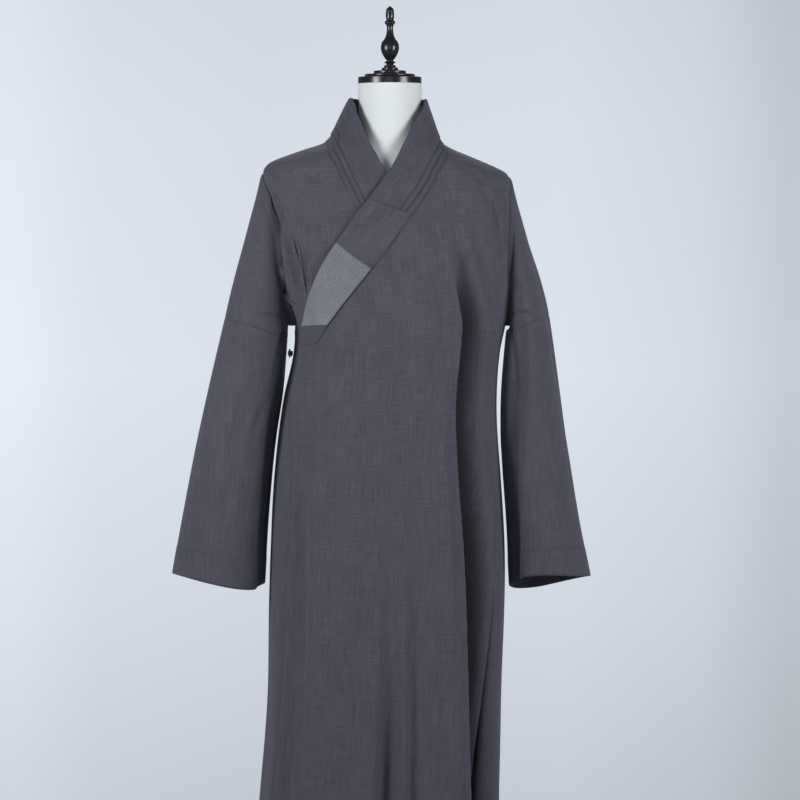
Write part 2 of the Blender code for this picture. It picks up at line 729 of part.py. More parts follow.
def main():
    clear_scene()
    collection = bpy.data.collections.new(OBJECT_NAME)
    bpy.context.scene.collection.children.link(collection)
    materials = {
        "robe": make_material("charcoal_cloth", (0.075, 0.072, 0.088), 0.85),
        "patch": make_material("grey_stitching", (0.21, 0.21, 0.23), 0.85),
        "form": make_material("form_cover", (0.78, 0.80, 0.80), 0.60),
        "lacquer": make_material("black_lacquer", (0.012, 0.012, 0.013), 0.18),
        "stand": make_material("black_steel", (0.020, 0.020, 0.021), 0.40),
    }
    table = collar_table()
    build_front_over(table, materials["robe"], collection)
    build_front_under(table, materials["robe"], collection)
    build_back(table, materials["robe"], collection)
    build_sleeve("left", SLEEVE_LEFT, SLEEVE_FOLDS_LEFT, 1, materials["robe"], collection)
    build_sleeve("right", SLEEVE_RIGHT, SLEEVE_FOLDS_RIGHT, -1, materials["robe"], collection)
    build_collar(table, materials, collection)
    build_knot(materials["robe"], collection)
    build_form(materials["form"], collection)
    build_stand(materials, collection)


main()
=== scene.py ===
# %% [markdown]
# # A monk's crossed-collar robe on a dress form
#
# A long charcoal robe hangs from a white form: two fronts that wrap left over right, a back,
# wide sleeves with an extension sewn on level with the underarm, a double collar with a
# guard, a stitched patch, and a knot button at the wearer's right side. Every piece is built
# here by formula from a few sizes, in metres, +Z up, with the robe's front towards -Y.

import bpy
import numpy as np
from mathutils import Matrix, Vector, kdtree


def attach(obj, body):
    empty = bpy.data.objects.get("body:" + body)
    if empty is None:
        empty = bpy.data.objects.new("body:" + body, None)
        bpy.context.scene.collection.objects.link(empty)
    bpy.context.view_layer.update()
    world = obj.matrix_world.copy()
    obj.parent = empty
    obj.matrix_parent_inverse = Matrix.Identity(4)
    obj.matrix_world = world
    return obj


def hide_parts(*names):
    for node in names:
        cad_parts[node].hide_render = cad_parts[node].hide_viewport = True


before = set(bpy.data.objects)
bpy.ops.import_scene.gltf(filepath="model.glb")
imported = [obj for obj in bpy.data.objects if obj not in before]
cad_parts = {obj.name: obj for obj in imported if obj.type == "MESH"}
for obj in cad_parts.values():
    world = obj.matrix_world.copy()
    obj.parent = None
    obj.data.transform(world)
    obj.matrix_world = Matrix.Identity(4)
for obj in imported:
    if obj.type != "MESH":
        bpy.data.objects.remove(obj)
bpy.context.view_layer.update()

# %% [markdown]
# ## Camera, stage and light
#
# A long lens from far off shows the robe level and almost without perspective. Two broad
# lights stand in front at either side, at the height of the collar, so the chest is
# brightest and the light falls off down the skirt. A weak light fills in from the front, and
# one behind draws the edges of the sleeves.
# The surroundings are a pale grey-blue glow, so that every view gets the same plain studio.

# %% Camera
VIEW_HEIGHT = 1.400                     # metres of height that the view takes in
VIEW_DISTANCE = 12.0
VIEW_CENTRE = (0.0175, 0.9525)          # across and up
SENSOR = 36.0

scene = bpy.context.scene
scene.view_settings.view_transform = "Standard"
camera_data = bpy.data.cameras.new("camera")
camera_data.sensor_width = SENSOR
camera_data.lens = SENSOR * VIEW_DISTANCE / VIEW_HEIGHT
camera = bpy.data.objects.new("camera", camera_data)
camera.location = (VIEW_CENTRE[0], -VIEW_DISTANCE, VIEW_CENTRE[1])
camera.rotation_euler = (np.pi / 2, 0, 0)
scene.collection.objects.link(camera)
scene.camera = camera
print("camera lens:", round(camera_data.lens), "mm at", VIEW_DISTANCE, "m")

# %% Lights
LIGHT_COLUMNS = ("name", "place", "aim", "size", "watts")
LIGHTS = (
    ("key_left", (-1.60, -1.30, 1.48), (0.0, 0.0, 1.45), (0.8, 0.9), 35),
    ("key_right", (1.60, -1.30, 1.48), (0.0, 0.0, 1.45), (0.8, 0.9), 31),
    ("front", (-0.2, -3.0, 1.5), (0.0, 0.0, 1.15), (1.2, 1.2), 5),
    ("back", (0.3, 2.8, 1.5), (0.0, 0.0, 1.0), (1.8, 1.8), 18),
)
LIGHT_COLOUR = (0.965, 0.980, 1.0)
for name, place, aim, size, watts in LIGHTS:
    data = bpy.data.lights.new(name, "AREA")
    data.shape = "RECTANGLE"
    data.size, data.size_y = size
    data.energy = watts
    data.color = LIGHT_COLOUR
    lamp = bpy.data.objects.new(name, data)
    lamp.location = place
    lamp.rotation_euler = (Vector(aim) - Vector(place)).to_track_quat("-Z", "Y").to_euler()
    lamp.visible_camera = False
    scene.collection.objects.link(lamp)
print("lights:", [row[0] for row in LIGHTS])

# %% [markdown]
# The glow of the surroundings is brightest at chest height and darkens downwards and to the
# right, by two ramps over the direction looked in. What the robe receives from it is an
# even, weaker light, so the darkness in the folds is left to the folds; in the deepest
# folds painted shade darkens the cloth's colour as well.

# %% Shader helpers
def feed(tree, socket, value):
    """Set a socket, or link it to another node's output."""
    if isinstance(value, bpy.types.NodeSocket):
        tree.links.new(value, socket)
    else:
        socket.default_value = value


def node(tree, kind, **sockets):
    """A shader node with its sockets set or linked."""
    item = tree.nodes.new("ShaderNode" + kind)
    for name, value in sockets.items():
        feed(tree, item.inputs[name.replace("_", " ")], value)
    return item


def math(tree, operation, first, second=0.5):
    item = node(tree, "Math")
    item.operation = operation
    feed(tree, item.inputs[0], first)
    feed(tree, item.inputs[1], second)
    return item.outputs[0]


def blend(tree, first, second, factor=1.0, kind="MULTIPLY"):
    """Two colours multiplied or mixed; each is red, green and blue or a node's output."""
    item = node(tree, "Mix")
    item.data_type = "RGBA"
    item.blend_type = kind
    feed(tree, item.inputs["Factor"], factor)
    for socket, value in ((item.inputs[6], first), (item.inputs[7], second)):
        feed(tree, socket, (*value, 1) if isinstance(value, tuple) else value)
    return item.outputs[2]


def ramp_node(tree, value, stops, low=0.0, high=1.0):
    """A grey ramp over value, whose stops are given between low and high."""
    spread = node(tree, "MapRange", Value=value, From_Min=low, From_Max=high)
    ramp = node(tree, "ValToRGB", Fac=spread.outputs["Result"])
    elements = ramp.color_ramp.elements
    while len(elements) < len(stops):
        elements.new(0.5)
    for element, (place, grey) in zip(elements, stops):
        element.position = (place - low) / (high - low)
    for element, (place, grey) in zip(elements, stops):
        element.color = (grey, grey, grey, 1)
    return ramp.outputs["Color"]


print("helpers:", [f.__name__ for f in (feed, node, math, blend, ramp_node)])

# %% Surroundings
GLOW = (0.695, 0.745, 0.822)
GLOW_UP = ((-0.060, 0.79), (-0.030, 0.92), (0.004, 1.02), (0.040, 0.98), (0.060, 0.93))
GLOW_ACROSS = ((-0.056, 1.12), (-0.044, 1.03), (-0.020, 0.985), (0.024, 1.01), (0.044, 0.93),
               (0.056, 0.80))
AMBIENT = 0.15
AMBIENT_COLOUR = (0.93, 0.96, 1.0, 1)
RAMP_REACH = 0.07                       # the ramps cover directions from minus to plus this

world = bpy.data.worlds.new("studio")
world.use_nodes = True
scene.world = world
tree = world.node_tree
direction = node(tree, "SeparateXYZ", Vector=node(tree, "TexCoord").outputs["Generated"])
glow_up = ramp_node(tree, direction.outputs["Z"], GLOW_UP, -RAMP_REACH, RAMP_REACH)
glow_across = ramp_node(tree, direction.outputs["X"], GLOW_ACROSS, -RAMP_REACH, RAMP_REACH)
seen = tree.nodes["Background"]
feed(tree, seen.inputs["Color"], blend(tree, GLOW, blend(tree, glow_up, glow_across)))
felt = node(tree, "Background", Color=AMBIENT_COLOUR, Strength=AMBIENT)
chooser = node(tree, "MixShader", Fac=node(tree, "LightPath").outputs["Is Camera Ray"])
feed(tree, chooser.inputs[1], felt.outputs[0])
feed(tree, chooser.inputs[2], seen.outputs[0])
feed(tree, tree.nodes["World Output"].inputs["Surface"], chooser.outputs[0])
print("surroundings: glow", GLOW, "ambient", AMBIENT)

# %% Floor
FLOOR_RADIUS = 2.2
FLOOR_COLOUR = (0.52, 0.55, 0.60, 1)
FLOOR_ROUGHNESS = 0.9
bpy.ops.mesh.primitive_circle_add(vertices=128, radius=FLOOR_RADIUS, fill_type="NGON")
floor = bpy.context.active_object
floor.name = "studio_floor"
floor_paint = bpy.data.materials.new("floor_paint")
floor_paint.use_nodes = True
paint = floor_paint.node_tree.nodes["Principled BSDF"]
paint.inputs["Base Color"].default_value = FLOOR_COLOUR
paint.inputs["Roughness"].default_value = FLOOR_ROUGHNESS
floor.data.materials.append(floor_paint)
print("floor:", 2 * FLOOR_RADIUS, "m across")

# %% [markdown]
# ## Reading tables as smooth curves
#
# A tailor drafts from a few measured stations and joins them by eye. The same is done here:
# each table gives sizes at a few heights, and a smooth curve passes through them.

# %% Smooth reading
def read_smoothly(table, key):
    """Every column of a table at keys in its first column, on smooth curves."""
    rows = np.array(sorted(table), dtype=float)
    place = rows[:, 0]
    sizes = rows[:, 1:]
    chord = np.diff(sizes, axis=0) / np.diff(place)[:, None]
    slope = np.vstack([chord[:1], (chord[:-1] + chord[1:]) / 2, chord[-1:]])
    key = np.clip(np.asarray(key, dtype=float), place[0], place[-1])
    low = np.clip(np.searchsorted(place, key) - 1, 0, len(place) - 2)
    span = (place[low + 1] - place[low])[..., None]
    t = (key - place[low])[..., None] / span
    value = ((2 * t**3 - 3 * t**2 + 1) * sizes[low] + (t**3 - 2 * t**2 + t) * span * slope[low]
             + (3 * t**2 - 2 * t**3) * sizes[low + 1] + (t**3 - t**2) * span * slope[low + 1])
    return np.moveaxis(value, -1, 0)


def smoothstep(t):
    t = np.clip(t, 0.0, 1.0)
    return t * t * (3 - 2 * t)


def mix(a, b, t):
    return a + (b - a) * t


def hump(distance, before, after):
    """1 on a line, falling smoothly to 0 at a width before it and a width after it."""
    width = np.where(distance < 0, before, after)
    return np.clip(1 - (distance / width) ** 2, 0, None) ** 2


print("smoothstep(0.25) =", smoothstep(0.25))

# %% [markdown]
# ## The robe's surface
#
# All panels share one surface, lofted from level sections. A point is given by a bearing
# round the body (0 front, 90 the wearer's left, 180 back) and a height. The largest folds
# are troughs that run down the skirt; they are pressed into the sections themselves.

# %% Sections and the largest folds
HEM = 0.130
UNDERARM = 1.083
SQUARENESS = 2.5                        # 2 is an ellipse, more is squarer
SEARCH_STEPS = 30                       # halvings when a bearing is searched for
SECTION_COLUMNS = ("height", "right", "left", "front", "back")
SECTIONS = (
    (0.130, 0.2345, 0.1900, 0.172, 0.166),
    (0.2525, 0.2275, 0.1908, 0.166, 0.160),
    (0.4360, 0.2150, 0.1925, 0.157, 0.148),
    (0.6025, 0.2115, 0.1995, 0.148, 0.137),
    (0.6850, 0.2095, 0.1995, 0.144, 0.132),
    (0.8195, 0.2025, 0.1925, 0.138, 0.122),
    (0.9525, 0.1850, 0.1860, 0.133, 0.114),
    (1.0400, 0.1660, 0.1930, 0.130, 0.113),
    (1.0800, 0.1660, 0.2020, 0.128, 0.114),
    (1.1500, 0.1980, 0.2150, 0.124, 0.118),
    (1.2325, 0.2135, 0.2215, 0.117, 0.118),
    (1.3025, 0.2180, 0.2165, 0.105, 0.110),
    (1.3480, 0.2235, 0.2020, 0.093, 0.099),
    (1.3585, 0.2200, 0.1840, 0.090, 0.096),
    (1.3690, 0.2080, 0.1600, 0.087, 0.093),
    (1.3795, 0.1820, 0.1350, 0.084, 0.090),
    (1.3900, 0.1520, 0.1100, 0.081, 0.087),
    (1.4005, 0.1200, 0.0915, 0.078, 0.084),
    (1.4110, 0.1050, 0.0840, 0.074, 0.080),
    (1.4215, 0.0980, 0.0795, 0.0705, 0.0775),
    (1.4425, 0.0875, 0.0725, 0.0645, 0.0725),
    (1.4635, 0.0770, 0.0655, 0.0615, 0.0695),
    (1.4810, 0.0675, 0.0600, 0.0595, 0.0680),
)
FOLD_COLUMNS = ("bearing at top", "bearing at hem", "width before", "width after",
                "depth", "starts", "full")
FOLDS = (
    (47.5, 58.5, 6.0, 13.0, 0.044, 1.25, 1.05),
    (51.4, 58.5, 5.0, 11.0, 0.036, 0.86, 0.62),
    (34.0, 46.5, 9.0, 7.0, -0.006, 1.20, 0.70),
    (70.0, 75.0, 8.0, 9.0, -0.004, 1.00, 0.60),
    (3.0, 4.5, 9.0, 9.0, 0.022, 0.80, 0.20),
    (18.0, 21.0, 6.0, 8.0, 0.016, 0.85, 0.20),
    (-14.0, -20.0, 12.0, 14.0, 0.008, 0.70, 0.18),
    (-57.0, -55.0, 12.0, 10.0, 0.013, 0.98, 0.70),
    (118.0, 112.0, 12.0, 14.0, 0.020, 0.95, 0.30),
    (148.0, 151.0, 12.0, 14.0, 0.018, 1.05, 0.30),
    (183.0, 180.0, 14.0, 12.0, 0.022, 0.98, 0.30),
    (212.0, 216.0, 12.0, 15.0, 0.017, 1.10, 0.30),
    (243.0, 248.0, 12.0, 12.0, 0.020, 0.92, 0.30),
)


def fold_depth(bearing, height):
    total = 0.0
    for top, hem, before, after, depth, starts, full in FOLDS:
        line = mix(hem, top, (height - HEM) / (starts - HEM))
        distance = (bearing - line + 180) % 360 - 180
        grown = smoothstep((starts - height) / (starts - full))
        total = total + depth * hump(distance, before, after) * grown
    return total


def plain_point(bearing, height, pressed=0.0):
    """A point of the robe's surface, pressed in towards its axis."""
    right, left, front, back = read_smoothly(SECTIONS, height)
    across = np.sin(np.radians(bearing))
    ahead = np.cos(np.radians(bearing))
    half = (right + left) / 2
    depth = np.where(ahead > 0, front, back)
    squared = (abs(across) / half) ** SQUARENESS + (abs(ahead) / depth) ** SQUARENESS
    radius = squared ** (-1 / SQUARENESS) - fold_depth(bearing, height) - pressed
    return np.stack([(left - right) / 2 + radius * across, -radius * ahead,
                     height + 0 * radius], axis=-1)


def find_bearing(x, height, face=1):
    """Bearing at which the front (1) or the back (-1) of a section passes through x."""
    low = np.full(np.shape(x), -90.0)
    high = -low
    for _ in range(SEARCH_STEPS):
        middle = (low + high) / 2
        bearing = middle if face > 0 else 180 - middle
        short = plain_point(bearing, height)[..., 0] < x
        low = np.where(short, middle, low)
        high = np.where(short, high, middle)
    return (low + high) / 2 if face > 0 else 180 - (low + high) / 2


print("hem:", np.round(plain_point(np.array([-90.0, 0.0, 90.0]), np.full(3, HEM)), 3).tolist())

# %% [markdown]
# ## Creases
#
# Smaller creases are listed, one row each: where it starts and ends as seen from
# the front or the back, how far it bows to one side, how deep it is, how wide on either
# side and how long its ends take to fade. Each is a soft trough whose cloth bulges a
# little along both sides, as pushed cloth does. Creases with a negative depth are ridges.

# %% Crease table
CREASE_COLUMNS = ("face", "x0", "height0", "x1", "height1", "bow", "depth", "width before",
                  "width after", "fade")
CREASES = (
    # from the wearer's right shoulder tip down to the armpit, beside the sleeve
    (1, -0.205, 1.345, -0.200, 1.190, 0.004, 0.0040, 0.010, 0.012, 0.30),
    (1, -0.195, 1.330, -0.172, 1.120, -0.008, 0.0070, 0.012, 0.010, 0.35),
    # drag lines that gather towards the lower corner of the patch
    (1, -0.187, 1.255, -0.152, 1.120, 0.006, 0.0100, 0.010, 0.008, 0.30),
    (1, -0.170, 1.240, -0.146, 1.115, 0.004, 0.0075, 0.008, 0.007, 0.30),
    (1, -0.200, 1.195, -0.160, 1.098, -0.004, 0.0110, 0.009, 0.007, 0.30),
    (1, -0.152, 1.225, -0.140, 1.135, 0.003, 0.0045, 0.009, 0.008, 0.40),
    # down the chest at the wearer's left, from the collar towards the armpit
    (1, 0.130, 1.280, 0.176, 1.070, 0.006, 0.0065, 0.016, 0.013, 0.40),
    (1, 0.100, 1.265, 0.142, 1.060, 0.008, 0.0045, 0.020, 0.016, 0.45),
    (1, 0.160, 1.330, 0.192, 1.150, 0.004, 0.0065, 0.012, 0.010, 0.35),
    (1, 0.180, 1.340, 0.198, 1.190, 0.003, 0.0050, 0.009, 0.009, 0.35),
    (1, 0.060, 1.240, 0.085, 0.980, 0.008, 0.0030, 0.022, 0.020, 0.50),
    # from the neck over each shoulder
    (1, 0.105, 1.372, 0.170, 1.300, 0.006, 0.0025, 0.014, 0.012, 0.45),
    (1, -0.120, 1.372, -0.175, 1.290, -0.006, 0.0025, 0.014, 0.012, 0.45),
    # long soft shadows down the front of the skirt
    (1, -0.095, 1.020, -0.128, 0.480, 0.006, 0.0030, 0.020, 0.026, 0.40),
    (1, -0.020, 1.050, -0.050, 0.300, -0.005, 0.0022, 0.026, 0.030, 0.40),
    (1, 0.050, 0.900, 0.064, 0.100, 0.006, 0.0030, 0.020, 0.024, 0.40),
    (1, 0.104, 0.960, 0.118, 0.420, 0.003, 0.0028, 0.014, 0.016, 0.40),
    (1, -0.145, 0.780, -0.165, 0.080, 0.004, 0.0040, 0.018, 0.016, 0.35),
    # the back: from both armpits towards the middle, and down from the shoulder blades
    (-1, 0.190, 1.240, 0.120, 1.060, -0.006, 0.0050, 0.012, 0.012, 0.35),
    (-1, 0.198, 1.180, 0.140, 1.020, -0.004, 0.0045, 0.010, 0.012, 0.35),
    (-1, -0.186, 1.230, -0.118, 1.040, 0.006, 0.0050, 0.012, 0.012, 0.35),
    (-1, -0.170, 1.140, -0.120, 0.980, 0.004, 0.0045, 0.012, 0.010, 0.35),
    (-1, 0.090, 1.300, 0.075, 0.960, 0.006, 0.0030, 0.020, 0.018, 0.45),
    (-1, -0.082, 1.290, -0.070, 0.940, -0.006, 0.0032, 0.018, 0.020, 0.45),
    (-1, 0.012, 1.200, 0.020, 0.760, 0.005, 0.0028, 0.020, 0.022, 0.45),
    (-1, 0.130, 0.900, 0.110, 0.140, 0.006, 0.0045, 0.016, 0.020, 0.35),
    (-1, -0.045, 0.930, -0.060, 0.100, 0.005, 0.0040, 0.020, 0.018, 0.35),
    (-1, -0.150, 0.860, -0.165, 0.120, 0.003, 0.0045, 0.016, 0.016, 0.35),
)
CREASE_ARM = 0.20 * np.pi / 180         # metres round the body for a degree of bearing
SHOULDER_BULGE = 0.32                   # how much of the depth comes out beside a crease


def crease_line(across, along, before, after, fade):
    """How far a crease presses in: 1 on its line, slightly negative beside it."""
    ends = smoothstep(along / fade) * smoothstep((1 - along) / fade)
    trough = hump(across, before, after)
    bulge = hump(across, 2.2 * before, 2.2 * after)
    return (trough * (1 + SHOULDER_BULGE) - SHOULDER_BULGE * bulge) * ends


def crease_depth(bearing, height):
    total = 0.0
    for start, end, bow, depth, before, after, fade in CREASE_RUNS:
        round_it = CREASE_ARM * ((bearing - start[0] + 180) % 360 - 180)
        up = height - start[1]
        run = np.array([CREASE_ARM * (end[0] - start[0]), end[1] - start[1]])
        length = np.hypot(*run)
        run = run / length
        along = (round_it * run[0] + up * run[1]) / length
        across = up * run[0] - round_it * run[1] - bow * 4 * along * (1 - along)
        total = total + depth * crease_line(across, along, before, after, fade)
    return total


CREASE_RUNS = []
for face, x0, z0, x1, z1, *shape in CREASES:
    ends = find_bearing(np.array([x0, x1]), np.array([z0, z1]), face)
    CREASE_RUNS.append(((ends[0], z0), (ends[1], z1), *shape))
print("creases placed by hand:", len(CREASE_RUNS))

# %% [markdown]
# Even flat-looking cloth is never quite even. A few long, shallow waves, longer down the
# cloth than across it, keep the light on it alive.

# %% Soft unevenness
WAVE_COLUMNS = ("height of wave", "waves round", "waves up", "shift")
WAVES = (
    (0.0007, 9, 0.9, 0.4),
    (0.0006, 13, -1.3, 2.1),
    (0.0005, 5, 2.2, 4.0),
    (0.00035, 21, 1.7, 1.2),
    (0.00030, 17, -3.1, 5.1),
)


def unevenness(bearing, height):
    total = 0.0
    for size, around, up, shift in WAVES:
        total = total + size * np.sin(around * np.radians(bearing) + up * 6.28 * height + shift)
    return total


SLOPE_STEP = (0.35, 0.0015)             # degrees round and metres up between which to measure


def cloth_point(bearing, height, lift=0.0):
    """Points of the creased robe, moved out by lift, and the directions straight out."""
    def at(b, h):
        return plain_point(b, h, crease_depth(b, h) + unevenness(b, h))

    turn, rise = SLOPE_STEP
    around = at(bearing + turn, height) - at(bearing - turn, height)
    up = at(bearing, height + rise) - at(bearing, height - rise)
    out = np.cross(around, up)
    out /= np.linalg.norm(out, axis=-1, keepdims=True)
    return at(bearing, height) + out * np.asarray(lift)[..., None], out


print("unevenness up to", round(sum(row[0] for row in WAVES) * 1000, 1), "mm")

# %% [markdown]
# ## The collar line
#
# The collar is one band from the patch's end, up over the wearer's left shoulder, round
# the back of the neck and down inside on the right. Stations count along it, and each has
# the place of the band's free edge and of its neck seam. The two lapels are drafted as
# seen from the front; round the neck the stations turn evenly.

# %% Collar stations
LAPEL_COLUMNS = ("inner x", "inner height", "outer x", "outer height")
OVER_LAPEL = (
    (0.0555, 1.4610, 0.1000, 1.3790),
    (0.0440, 1.4380, 0.0905, 1.3570),
    (0.0255, 1.4025, 0.0765, 1.3285),
    (0.0000, 1.3533, 0.0590, 1.3015),
    (-0.0375, 1.3018, 0.0395, 1.2730),
    (-0.0640, 1.2680, 0.0077, 1.2259),
    (-0.0928, 1.2270, -0.0290, 1.1790),
    (-0.1175, 1.1870, -0.0600, 1.1400),
    (-0.1345, 1.1470, -0.0840, 1.1110),
    (-0.1460, 1.1110, -0.0980, 1.0930),
    (-0.1535, 1.0800, -0.1068, 1.0820),
    (-0.1600, 1.0420, -0.1230, 1.0520),
)
UNDER_LAPEL = (
    (-0.0640, 1.4630, -0.1075, 1.3840),
    (-0.0520, 1.4360, -0.0970, 1.3620),
    (-0.0330, 1.3980, -0.0850, 1.3350),
    (-0.0088, 1.3515, -0.0700, 1.3035),
    (0.0200, 1.3000, -0.0480, 1.2560),
    (0.0500, 1.2500, -0.0200, 1.1980),
    (0.0700, 1.2100, 0.0120, 1.1500),
)
NECK_SIDE_LEFT = (1.4785, 1.3988)       # heights of the free edge and of the neck seam
NECK_BACK = (1.4800, 1.4100)
NECK_SIDE_RIGHT = (1.4810, 1.4040)
NECK_STATIONS = 12
FINE_STATIONS = 1500                    # for measuring along the band
STRAIGHT_FROM = 1.4                     # rows from the side of the neck to straight cross lines


def lapel_rows(table, side, neck):
    """A lapel's rows counted from the side of the neck, where the collar turns back."""
    top, seam = neck
    start = (plain_point(side, top)[0], top, plain_point(side, seam)[0], seam)
    return [(count, *row) for count, row in enumerate([start, *table])]


OVER_ROWS = lapel_rows(OVER_LAPEL, 90.0, NECK_SIDE_LEFT)
UNDER_ROWS = lapel_rows(UNDER_LAPEL, -90.0, NECK_SIDE_RIGHT)
FIRST_STATION = -len(OVER_LAPEL)
LAST_STATION = NECK_STATIONS + len(UNDER_LAPEL)


def band_place(station, t):
    """Bearing and height at a station, t of the way from the free edge to the neck seam."""
    turn = np.clip(station / NECK_STATIONS, 0, 1)
    back = np.sin(np.pi * turn) ** 2
    bearing = mix(90, 270, turn)
    height = mix(*[mix(mix(left, right, turn), middle, back)
                   for left, right, middle in zip(NECK_SIDE_LEFT, NECK_SIDE_RIGHT, NECK_BACK)], t)
    for rows, count, around in ((OVER_ROWS, -station, 0),
                                (UNDER_ROWS, station - NECK_STATIONS, 360)):
        inner_x, inner_height, outer_x, outer_height = read_smoothly(rows, count)
        lapel_height = mix(inner_height, outer_height, t)
        turned = mix(find_bearing(inner_x, inner_height), find_bearing(outer_x, outer_height), t)
        straight = find_bearing(mix(inner_x, outer_x, t), lapel_height)
        lapel = mix(turned, straight, smoothstep(count / STRAIGHT_FROM)) + around
        bearing = np.where(count > 0, lapel, bearing)
        height = np.where(count > 0, lapel_height, height)
    return bearing, height


def spread_stations(first, last, count, t=1.0):
    """Stations spaced evenly along the band, counting both its length and its turning."""
    station = np.linspace(first, last, FINE_STATIONS)
    bearing, height = band_place(station, t)
    point = plain_point(bearing, height)
    length = np.linalg.norm(np.diff(point, axis=0), axis=1)
    turning = abs(np.diff(bearing))
    run = np.concatenate([[0], np.cumsum(length / length.sum() + turning / turning.sum())])
    return np.interp(np.linspace(0, run[-1], count), run, station)


print("collar stations:", FIRST_STATION, "to", LAST_STATION)

# %% [markdown]
# ## Edges of the panels
#
# Each front and the back end at a side seam, then at the armhole, then along the shoulder.
# The side seams open into a slit near the hem. The under front leaves the common surface at
# its side seam and runs inside the over front, so that the two layers never touch.

# %% Panel edges
ARMHOLE_HALF_DEPTH = 0.055
ARMHOLE_SEARCH_STEPS = 24
TIP_LEFT = 1.3450
TIP_RIGHT = 1.3500
SEWN_GAP = 0.00015
SLIT_TOP = 0.430
SLIT_OPENING = 0.0015
EDGE_COLUMNS = ("height", "bearing")
SEAM_LINE_LEFT = ((HEM, 64.0), (0.60, 66.0), (0.80, 70.0), (0.95, 79.0), (UNDERARM, 90.0))
FREE_EDGE = ((HEM, -63.0), (0.60, -63.0), (0.90, -64.0), (0.98, -69.0))
SEAM_REACH = 4                          # how soon a column loses the bend of the neck seam
PULL_REACH = 5                          # and the pull of an armhole
METRES_PER_DEGREE = 0.0035
UNDERLAP = (0.0042, 0.0070)             # low down and high up
UNDERLAP_RUN = (8.0, 30.0)
UNDERLAP_RISE = (1.20, 1.35)


def armhole_bearing(height, side, face):
    """Bearing of the armhole's edge at a height; side is 90 or -90, face 1 or -1."""
    tip = TIP_LEFT if side > 0 else TIP_RIGHT
    high = (height - (tip + UNDERARM) / 2) / ((tip - UNDERARM) / 2)
    wanted = ARMHOLE_HALF_DEPTH * np.sqrt(np.clip(1 - high**2, 0, None))
    near = np.full(np.shape(height), float(side))
    far = near * (1 - face * 0.5)
    for _ in range(ARMHOLE_SEARCH_STEPS):
        middle = (near + far) / 2
        short = abs(plain_point(middle, height)[..., 1]) < wanted
        near = np.where(short, middle, near)
        far = np.where(short, far, middle)
    return (near + far) / 2


def gap_degrees(height):
    """Half of the opening at a side seam, as degrees of bearing."""
    right, left, _, _ = read_smoothly(SECTIONS, height)
    opening = SEWN_GAP + SLIT_OPENING * smoothstep((SLIT_TOP - height) / 0.12)
    return np.degrees(opening / (right + left))


def left_edge(height, face):
    seam = read_smoothly(SEAM_LINE_LEFT, height)[0]
    bearing = np.where(height > UNDERARM, armhole_bearing(height, 90, face), seam)
    return bearing - face * gap_degrees(height)


def right_edge(height, face):
    bearing = np.where(height > UNDERARM, armhole_bearing(height, -90, face), -90)
    return bearing + face * gap_degrees(height)


def under_lift(bearing, height):
    low, high = UNDERLAP_RISE
    rise = smoothstep((height - low) / (high - low))
    return -mix(*UNDERLAP, rise) * smoothstep((bearing + 90) / mix(*UNDERLAP_RUN, rise))


def panel_grid(first_edge, last_edge, seam, side_heights):
    """Bearings and heights of a panel's grid, from its hem up to its neck seam.

    Each column starts at its share of the neck seam and runs down to the same share of the
    hem; the bend of the seam and the pull of the armholes soon fade along it.
    """
    bearing, height = seam
    v = ((side_heights - HEM) / (side_heights[-1] - HEM))[:, None]
    step = np.hypot(METRES_PER_DEGREE * np.diff(bearing), np.diff(height))
    share = np.concatenate([[0], np.cumsum(step)]) / step.sum()
    grid = (bearing - mix(bearing[0], bearing[-1], share)) * v ** SEAM_REACH
    for edge, end, side in ((first_edge, 0, 1 - share), (last_edge, -1, share)):
        edge_height = mix(HEM, height[end], v)
        edge_bearing = edge(edge_height)
        pull = np.where(edge_height > UNDERARM, edge_bearing - bearing[end], 0)
        grid = grid + (edge_bearing - pull) * side + pull * side ** PULL_REACH
    return grid, HEM + v * (height - HEM)


def side_heights(top, rows):
    """Row heights along the side that reaches the shoulder, closest on the shoulder."""
    parts = ((HEM, UNDERARM, 0.56), (UNDERARM, TIP_LEFT, 0.26), (TIP_LEFT, top, 0.18))
    runs = [np.linspace(low, high, int(rows * share))[:-1] for low, high, share in parts]
    return np.concatenate(runs + [[top]])


print("armhole at its middle:", np.round(armhole_bearing(np.array([1.21]), 90, 1), 1), "degrees")

# %% [markdown]
# ## From a grid of points to a piece of cloth
#
# A piece is one open sheet of four-sided faces with its own cloth coordinates, in metres,
# so that the weave keeps its scale and its grain. Solidify gives it the cloth's thickness,
# thinned at the edges so that they look folded and pressed, not sawn. Where a stitch line
# crosses a piece, the cloth is pressed in slightly, and painted shade darkens its colour a
# little.

# %% Cloth maker
CLOTH = 0.0012
THIN_EDGE = 0.45                        # share of the thickness that is left at an edge
STITCH_WIDTH = 0.0013
made = []


def lengths(points, axis):
    """Distance along a grid of points, counted from its first row or column."""
    step = np.linalg.norm(np.diff(points, axis=axis), axis=-1)
    return np.concatenate([np.zeros_like(np.take(step, [0], axis)), np.cumsum(step, axis)], axis)


def distance_to(points, spots):
    """Distance of each point of a grid from the nearest of some spots."""
    finder = kdtree.KDTree(len(spots))
    for i, spot in enumerate(spots):
        finder.insert(spot, i)
    finder.balance()
    return np.array([finder.find(p)[2] for p in points.reshape(-1, 3)]).reshape(points.shape[:-1])


def near_lines(points, lines):
    """How strongly each point of a grid feels the nearest stitch line, from 0 to 1."""
    if not lines:
        return np.zeros(points.shape[:-1])
    return 0.7 * np.exp(-(distance_to(points, np.concatenate(lines)) / STITCH_WIDTH) ** 2)


